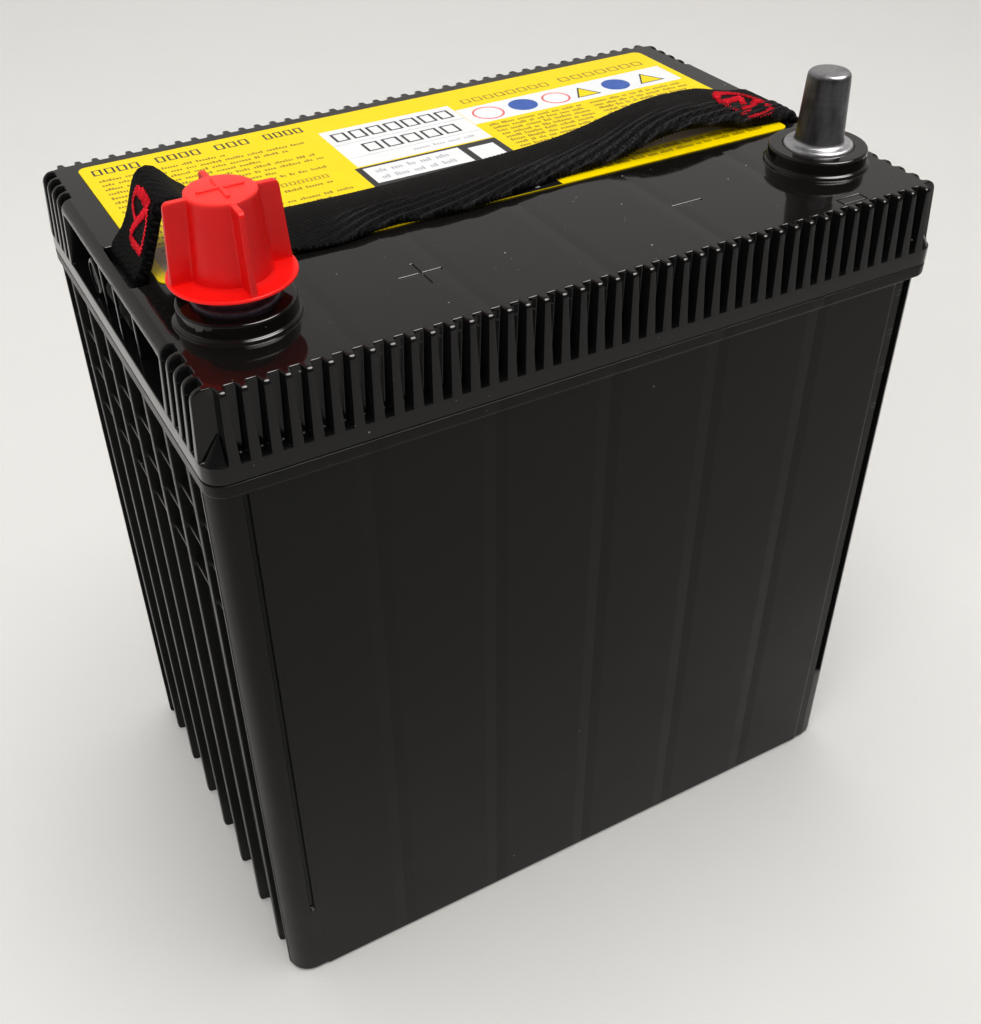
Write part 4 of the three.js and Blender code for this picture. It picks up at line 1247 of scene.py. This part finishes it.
# ---------------------------------------------------------------- webbing carry strap (mm)
# Rows across the middle of the webbing's thickness, from the left end to the right end.
LEFT_ROWS = [                                 # front edge x, z, y, then rear edge x, z, y
    (-92.4, 195.4, -11.6, -92.4, 195.4, 7.6), (-92.4, 199.3, -12.0, -92.4, 199.3, 8.2),
    (-92.0, 202.8, -12.3, -91.9, 203.1, 8.7), (-90.2, 206.3, -12.8, -88.6, 206.9, 9.0),
    (-88.9, 210.0, -13.0, -86.5, 210.9, 9.1), (-87.4, 213.9, -13.0, -85.1, 214.7, 9.2),
    (-86.4, 216.8, -13.0, -84.1, 217.3, 9.2), (-85.2, 219.0, -13.0, -82.9, 218.9, 9.1),
    (-83.3, 219.9, -13.0, -81.5, 219.2, 9.1), (-81.1, 219.4, -13.0, -79.5, 217.9, 9.0),
    (-78.6, 217.3, -13.0, -77.0, 215.6, 9.0), (-75.0, 214.3, -13.1, -73.8, 212.9, 8.8),
    (-70.6, 210.5, -13.4, -70.0, 209.6, 8.3)]
MIDDLE_ROWS = [                               # x, then y, z of the front edge, ridge, rear edge
    (-66.0, -13.8, 207.2, -4.6, 207.8, 7.6, 207.4), (-61.6, -15.9, 204.9, -5.6, 206.4, 6.2, 205.4),
    (-57.0, -17.1, 204.0, -6.4, 205.7, 5.0, 204.5), (-52.0, -17.8, 203.65, -7.4, 205.5, 4.2, 204.2),
    (-45.0, -17.9, 203.62, -7.8, 205.45, 4.1, 204.15),
    (-37.0, -16.3, 203.85, -7.8, 205.4, 4.0, 204.1),
    (-30.5, -15.7, 203.95, -7.9, 205.4, 4.0, 204.1),
    (-25.0, -16.5, 203.85, -8.4, 205.4, 4.0, 204.1),
    (-12.0, -17.1, 203.95, -8.6, 205.4, 4.5, 204.1), (0.0, -15.6, 203.95, -7.7, 205.4, 5.3, 204.1),
    (17.0, -12.9, 203.95, -6.5, 205.5, 6.6, 204.15), (27.0, -12.5, 204.05, -6.2, 206.3, 7.0, 204.7),
    (35.4, -12.3, 204.7, -6.0, 207.5, 7.6, 205.6), (45.0, -12.0, 207.0, -5.8, 209.6, 8.0, 207.3),
    (54.5, -11.5, 207.7, -5.6, 210.4, 8.3, 208.7), (64.3, -11.0, 206.8, -5.2, 209.5, 9.0, 208.9),
    (74.3, -11.2, 204.7, -4.5, 207.2, 9.3, 207.3), (81.5, -11.5, 204.15, -4.0, 205.4, 9.2, 205.6),
    (87.0, -11.8, 204.2, -3.2, 204.8, 8.8, 204.6), (90.4, -12.0, 204.15, -3.0, 204.4, 8.6, 204.3)]
RIGHT_ROWS = [                                # columns as in LEFT_ROWS
    (92.3, 202.9, -12.0, 92.3, 202.9, 8.5), (93.0, 200.4, -12.0, 93.0, 200.4, 8.2),
    (93.0, 195.4, -11.6, 93.0, 195.4, 7.6)]


def straight_row(xa, za, ya, xb, zb, yb):
    """Front edge, ridge and rear edge in one straight line."""
    t = RIDGE_AT
    return (xa, ya, za), (xa + (xb - xa) * t, ya + (yb - ya) * t, za + (zb - za) * t), (xb, yb, zb)


STRAP_ROWS = [straight_row(*row) for row in LEFT_ROWS]
STRAP_ROWS += [((x, ya, za), (x, yr, zr), (x, yb, zb)) for x, ya, za, yr, zr, yb, zb in MIDDLE_ROWS]
STRAP_ROWS += [straight_row(*row) for row in RIGHT_ROWS]


def resample(keys, step):
    """Centripetal Catmull-Rom through the key rows, spaced evenly along the ridge."""
    keys = np.asarray(keys, float)
    gaps = np.linalg.norm(np.diff(keys[:, 1], axis=0), axis=1)
    knots = np.r_[0, np.cumsum(np.sqrt(gaps))]
    rows = np.concatenate([keys[:1] * 2 - keys[1:2], keys, keys[-1:] * 2 - keys[-2:-1]])
    knots = np.r_[2 * knots[0] - knots[1], knots, 2 * knots[-1] - knots[-2]]

    def between(t, ta, tb, a, b):
        return (tb - t) / (tb - ta) * a + (t - ta) / (tb - ta) * b

    out = []
    for i in range(1, len(rows) - 2):
        p0, p1, p2, p3 = rows[i - 1:i + 3]
        t0, t1, t2, t3 = knots[i - 1:i + 3]
        for t in np.linspace(t1, t2, 24, endpoint=False):
            a1 = between(t, t0, t1, p0, p1)
            a2 = between(t, t1, t2, p1, p2)
            a3 = between(t, t2, t3, p2, p3)
            out.append(between(t, t1, t2, between(t, t0, t2, a1, a2), between(t, t1, t3, a2, a3)))
    out = np.array(out + [keys[-1]])
    s = np.r_[0, np.cumsum(np.linalg.norm(np.diff(out[:, 1], axis=0), axis=1))]
    even = np.linspace(0, s[-1], int(s[-1] / step) + 1)
    rows = np.stack([[np.interp(even, s, out[:, k, c]) for c in range(3)] for k in range(3)])
    return rows.transpose(2, 0, 1), even


ROWS, LENGTHS = resample(STRAP_ROWS, 0.62)
STRAP_END = LENGTHS[-1]
# width fractions, closer together at the edges
ACROSS = ((1 - np.cos(np.linspace(0, math.pi, WEB_COUNT))) / 2 * 0.5
          + np.linspace(0, 1, WEB_COUNT) * 0.5)
# middle surface: a parabola through front edge, ridge and rear edge
MIDDLE = np.stack([ROWS[:, 0] * ((v - RIDGE_AT) * (v - 1) / RIDGE_AT)
                   + ROWS[:, 1] * (v * (v - 1) / (RIDGE_AT * (RIDGE_AT - 1)))
                   + ROWS[:, 2] * (v * (v - RIDGE_AT) / (1 - RIDGE_AT)) for v in ACROSS], 1)
CROSSWISE = np.gradient(MIDDLE, ACROSS, axis=1)
NORMALS = np.cross(np.gradient(MIDDLE, axis=0), CROSSWISE)
NORMALS /= np.linalg.norm(NORMALS, axis=2, keepdims=True)
# the folded-back ends are two layers thick
EXTRA = np.interp(LENGTHS, [0, 4, 8, 25, 32, STRAP_END - 36, STRAP_END - 28, STRAP_END - 9,
                            STRAP_END - 5, STRAP_END],
                  [0.7, 0.9, 1.0, 1.0, 0, 0, 1.0, 1.0, 0.8, 0.6])


def web_height(s, v):
    """Weave ribs: nearly lengthways on the front part, fine and steep on the rest."""
    phase = (v * math.cos(RIB_TURN) - s * math.sin(RIB_TURN)) / RIB_PITCH
    strong = (0.5 + 0.5 * np.cos(2 * math.pi * phase)) ** 0.7 * 0.58
    turn = math.radians(20)
    phase = (s * math.cos(turn) + v * math.sin(turn)) / 1.24
    fine = (0.5 + 0.5 * np.cos(2 * math.pi * phase)) * 0.1
    front = np.clip((RIDGE_AT * WEB_WIDTH + 0.6 - v) / 1.5, 0, 1)
    run = np.clip((s - 66) / 9, 0, 1)
    front = front * front * (3 - 2 * front) * run * run * (3 - 2 * run)
    return strong * front + fine * (1 - front) - 0.12


def web_surface():
    """Upper and lower faces of the webbing."""
    s, v = np.meshgrid(LENGTHS, ACROSS * WEB_WIDTH, indexing="ij")
    from_edge = np.minimum(ACROSS, 1 - ACROSS) * WEB_WIDTH
    edge = np.clip(from_edge / 1.1, 0, 1)
    edge = np.sqrt(np.clip(1 - (1 - edge) ** 2, 0, 1)) * 0.9 + 0.1
    half = WEB_THICK / 2 * edge[None, :, None]
    rib = web_height(s, v)[:, :, None]
    rib_fade = np.clip(from_edge / 0.8, 0, 1)[None, :, None]
    # small waves along both edges
    wobble = 0.22 * np.sin(s * 2 * math.pi / 1.24)[:, :, None]
    wobble = wobble * (1 - np.clip(from_edge / 0.9, 0, 1))[None, :, None]
    across = CROSSWISE / np.linalg.norm(CROSSWISE, axis=2, keepdims=True)
    out = across * wobble * np.sign(ACROSS - 0.5)[None, :, None]
    fold = EXTRA[:, None, None] * np.clip(edge * 1.15 - 0.15, 0, 1)[None, :, None]
    top = MIDDLE + NORMALS * (half + fold + rib * rib_fade) + out
    low = MIDDLE - NORMALS * (half + 0.5 * np.minimum(rib, 0.1) * rib_fade) + out
    return top, low


WEB_TOP, WEB_LOW = web_surface()
MIDDLE_ROW = int(np.argmin(np.abs(ROWS[:, 1, 0])))


def build_strap(name, first, last, bar_x):
    top, low = WEB_TOP[first:last + 1], WEB_LOW[first:last + 1]
    m, n = top.shape[0], WEB_COUNT
    o = m * n                                 # index of the first lower vertex
    faces = []
    for i in range(m - 1):
        for j in range(n - 1):
            a = i * n + j
            faces.append((a, a + n, a + n + 1, a + 1))
            faces.append((o + a, o + a + 1, o + a + n + 1, o + a + n))
        a = i * n
        faces.append((a, o + a, o + a + n, a + n))
        a = i * n + n - 1
        faces.append((a, a + n, o + a + n, o + a))
    for j in range(n - 1):
        faces.append((j, j + 1, o + j + 1, o + j))
        a = (m - 1) * n + j
        faces.append((a, o + a, o + a + 1, a + 1))
    ob = solid(name, (np.concatenate([top.reshape(-1, 3), low.reshape(-1, 3)]), faces))

    # the end wraps the bar under the plate
    ang = np.arange(32) * 2 * math.pi / 32

    def hoop(y, r):
        return np.stack([bar_x + r * np.cos(ang), np.full(32, y), BAR_Z + r * np.sin(ang)], 1)

    wrap = ((-11.9, 3.55), (-11.7, 3.72), (-11.2, 3.78), (7.2, 3.78), (7.7, 3.72), (7.9, 3.55))
    join(ob, loft([hoop(y, r) for y, r in wrap], cap_axis=1))
    cut(ob, loft([hoop(y, 1.9) for y in (-16, 12)], cap_axis=1))
    return ob


def weave_uv(ob):
    """Length and width along the webbing, in 0.1 m units, from the nearest row."""
    me = ob.data
    co = np.empty(len(me.vertices) * 3)
    me.vertices.foreach_get("co", co)
    co = co.reshape(-1, 3) * 1000
    uv = np.zeros((len(co), 2))
    ridge = ROWS[:, 1][:, [0, 2]]
    for a in range(0, len(co), 4000):         # in batches, to limit memory
        part = co[a:a + 4000]
        row = ((part[:, None, [0, 2]] - ridge[None]) ** 2).sum(2).argmin(1)
        t = (part[:, 1] - ROWS[row, 0, 1]) / (ROWS[row, 2, 1] - ROWS[row, 0, 1])
        uv[a:a + 4000, 0] = LENGTHS[row] / 100
        uv[a:a + 4000, 1] = t * WEB_WIDTH / 100
    layer = me.uv_layers.new(name="weave")
    loops = np.empty(len(me.loops), np.int32)
    me.loops.foreach_get("vertex_index", loops)
    layer.data.foreach_set("uv", uv[loops].astype(np.float32).ravel())


for side, first, last, bar_x, nodes in (
        ("left", 0, MIDDLE_ROW, -BAR_X, ("strap_left_end", "strap_grip")),
        ("right", MIDDLE_ROW, len(ROWS) - 1, BAR_X, ("strap_right_end",))):
    strap = build_strap(f"carry_strap_{side}", first, last, bar_x)
    weave_uv(strap)
    dress(strap, [materials["webbing"]])
    shade(strap, 60.0, weighted=False)
    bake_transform(strap)
    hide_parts(*nodes)


# ---------------------------------------------------------------- red stitching (mm)
def on_web(s, v):
    """Point and normal on the upper face at a length in mm and a width fraction."""
    fi = np.interp(s, LENGTHS, np.arange(len(LENGTHS)))
    fj = np.interp(v, ACROSS, np.arange(WEB_COUNT))
    i, j = int(min(fi, len(LENGTHS) - 2)), int(min(fj, WEB_COUNT - 2))
    a, b = fi - i, fj - j

    def at(grid):
        near = grid[i, j] * (1 - a) + grid[i + 1, j] * a
        far = grid[i, j + 1] * (1 - a) + grid[i + 1, j + 1] * a
        return near * (1 - b) + far * b

    normal = at(NORMALS)
    point = at(MIDDLE) + normal * (WEB_THICK / 2 + np.interp(s, LENGTHS, EXTRA))
    return point, normal / np.linalg.norm(normal)


def tube(path, normals, r=0.24, n=6):
    """Slightly flattened thread along a path."""
    path, up = np.asarray(path, float), np.asarray(normals, float)
    along = np.gradient(path, axis=0)
    along /= np.linalg.norm(along, axis=1, keepdims=True)
    side = np.cross(along, up)
    side /= np.linalg.norm(side, axis=1, keepdims=True)
    up = np.cross(side, along)
    angles = np.arange(n) * 2 * math.pi / n
    rings = [np.asarray([p + r * (math.cos(a) * b + 0.8 * math.sin(a) * u) for a in angles])
             for p, b, u in zip(path, side, up)]
    m = len(rings)
    turn = [(i, (i + 1) % n) for i in range(n)]
    faces = [(k * n + i, k * n + j, (k + 1) * n + j, (k + 1) * n + i)
             for k in range(m - 1) for i, j in turn]
    faces += [(m * n, j, i) for i, j in turn]
    faces += [(m * n + 1, (m - 1) * n + i, (m - 1) * n + j) for i, j in turn]
    return np.concatenate(rings + [path[:1], path[-1:]]), faces


def satin(points, reach, pitch):
    """Dense zigzag along a line of (length mm, width mm), reaching out to both sides."""
    points = np.asarray(points, float)
    run = np.r_[0, np.cumsum(np.linalg.norm(np.diff(points, axis=0), axis=1))]
    total = run[-1]

    def at(t):
        return np.array([np.interp(t, run, points[:, 0]), np.interp(t, run, points[:, 1])])

    count = max(4, int(total / pitch))
    path, normals = [], []
    for k in range(count + 1):
        t = total * k / count
        ahead = at(min(t + 0.3, total)) - at(max(t - 0.3, 0))
        ahead /= max(np.linalg.norm(ahead), 1e-6)
        sign = 1 if k % 2 else -1
        s, v = at(t) + np.array([-ahead[1], ahead[0]]) * reach * sign * rng.uniform(0.8, 1.15)
        point, normal = on_web(s, np.clip(v / WEB_WIDTH, 0.02, 0.98))
        path.append(point + normal * (0.16 + rng.uniform(0, 0.12)))
        normals.append(normal)
    return tube(path, normals)


def from_right(points):
    """Points whose length is measured back from the right end."""
    return [(STRAP_END - s, v) for s, v in points]


TACKS = {                                     # (length, width) points, reach, pitch
    "left": [
        ([(23.4, 14.8), (24.4, 9.0), (24.2, 2.8), (21.0, 6.4), (18.0, 9.8), (14.4, 12.4),
          (13.3, 9.8), (14.7, 2.0)], 0.85, 0.4),
        ([(14.8, 1.9), (18.0, 1.7), (21.7, 1.7), (24.0, 2.6)], 0.3, 0.5),
        ([(23.4, 14.8), (20.0, 15.4), (18.0, 10.4)], 0.5, 0.45)],
    "right": [
        (from_right([(28.4, 12.6), (24.6, 15.8), (20.0, 16.9), (15.8, 16.2), (13.4, 10.0),
                     (13.4, 4.0), (15.8, 1.7), (20.0, 1.6), (24.2, 2.4), (29.2, 8.8),
                     (28.4, 12.6)]), 0.95, 0.4),
        (from_right([(27.6, 9.4), (17.6, 13.8), (23.4, 4.6), (14.2, 9.6)]), 0.95, 0.4)]}
for side, lines in TACKS.items():
    tack = make_object(f"bar_tack_{side}", *merge([satin(*line) for line in lines]),
                       [materials["stitch"]])
    shade(tack, 70.0, weighted=False)
    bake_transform(tack)

# ---------------------------------------------------------------- carried-over CAD nodes
NODE_MATERIALS = {"valve_cover": "cover", "flame_arrestor": "filter",
                  "positive_pillar": "lead_inner", "negative_pillar": "lead_inner"}
for prefix, count, key in (("safety_valve", 6, "rubber"), ("positive_plates", 6, "positive_paste"),
                           ("negative_plates", 6, "negative_paste"),
                           ("separator_mat", 6, "glass_mat"), ("intercell_weld", 5, "lead_inner")):
    for k in range(1, count + 1):
        NODE_MATERIALS[f"{prefix}_{k}"] = key
for node, key in NODE_MATERIALS.items():
    dress(frame["nodes"][node], [materials[key]])

# ---------------------------------------------------------------- floor
for ob in list(bpy.data.objects):
    if ob.name in ("Cube", "Light", "Camera"):
        bpy.data.objects.remove(ob)

FLOOR_HALF = 4000                             # mm
make_object("floor", [(x * FLOOR_HALF, y * FLOOR_HALF, 0)
                               for x, y in ((-1, -1), (1, -1), (1, 1), (-1, 1))],
                     [(0, 1, 2, 3)], [materials["floor"]])


# ---------------------------------------------------------------- world
def build_world():
    world = bpy.data.worlds.new("studio")
    bpy.context.scene.world = world
    world.use_nodes = True
    tree = world.node_tree
    tree.nodes.clear()

    def ease(value, source, target):
        return add_node(tree, "ShaderNodeMapRange", {
            "Value": value, "From Min": source[0], "From Max": source[1],
            "To Min": target[0], "To Max": target[1]},
            interpolation_type="SMOOTHSTEP").outputs["Result"]

    def background(colour, strength):
        return add_node(tree, "ShaderNodeBackground",
                        {"Color": colour, "Strength": strength}).outputs[0]

    direction = add_node(tree, "ShaderNodeTexCoord", {}).outputs["Generated"]
    _, y, z = add_node(tree, "ShaderNodeSeparateXYZ", {0: direction}).outputs
    # what glossy faces see: pale behind, dark on the camera's side and overhead
    room = add_node(tree, "ShaderNodeMath", {
        0: ease(y, (-0.35, 0.45), (0.10, 0.50)),
        1: ease(z, (0.35, 0.95), (1.0, 0.45))}, operation="MULTIPLY").outputs[0]
    # a soft bright ceiling panel for edges that lean forward
    facing = add_node(tree, "ShaderNodeVectorMath", {
        0: direction, 1: Vector((0.36, -0.30, 0.88)).normalized()},
        operation="DOT_PRODUCT").outputs["Value"]
    panel = ease(facing, (math.cos(math.radians(27)), math.cos(math.radians(9))), (0.0, 14.0))
    both = add_node(tree, "ShaderNodeMath", {0: room, 1: panel}).outputs[0]
    glossy = background((1.0, 0.955, 0.91), both)
    soft = background((1.0, 0.99, 0.975), 0.42)
    is_glossy = add_node(tree, "ShaderNodeLightPath", {}).outputs["Is Glossy Ray"]
    mixed = add_node(tree, "ShaderNodeMixShader", {0: is_glossy, 1: soft, 2: glossy}).outputs[0]
    add_node(tree, "ShaderNodeOutputWorld", {0: mixed})


build_world()


# ---------------------------------------------------------------- lights
def area_light(name, location, target, size, power):
    """Soft light that glossy faces don't mirror."""
    data = bpy.data.lights.new(name, "AREA")
    data.energy, data.size, data.color = power, size, (1, 0.99, 0.97)
    ob = bpy.data.objects.new(name, data)
    bpy.context.scene.collection.objects.link(ob)
    ob.location = location
    aim = Vector(target) - Vector(location)
    ob.rotation_euler = aim.to_track_quat("-Z", "Y").to_euler()
    ob.visible_glossy = False


area_light("key_top", (0.02, -0.1, 1.5), target=(0, 0, 0.1), size=1.2, power=17)
area_light("window_left", (-1.1, -0.7, 1.0), target=(0, 0, 0.15), size=0.7, power=5)
area_light("fill_back", (0.3, 1.4, 1.1), target=(0, 0, 0.1), size=0.9, power=3)

# ---------------------------------------------------------------- camera
CAMERA_AT = (-0.144162, -0.262530, 0.333275)
CAMERA_AXES = (                               # right, up and backward
    (0.8789768936, -0.4765624335, -0.0169666611),
    (0.3077677439, 0.5397542003, 0.7835460542),
    (-0.3642507877, -0.6939406677, 0.6211020152))
cam_data = bpy.data.cameras.new("camera")
camera = bpy.data.objects.new("camera", cam_data)
bpy.context.scene.collection.objects.link(camera)
pose = Matrix(CAMERA_AXES).transposed().to_4x4()
pose.translation = CAMERA_AT
camera.matrix_world = pose
cam_data.sensor_width = 36.0
cam_data.sensor_fit = "AUTO"
cam_data.lens = 43.367
cam_data.shift_x, cam_data.shift_y = 0.0252, -0.0076
cam_data.clip_start, cam_data.clip_end = 0.01, 50
bpy.context.scene.camera = camera
bpy.context.scene.view_settings.view_transform = "Standard"
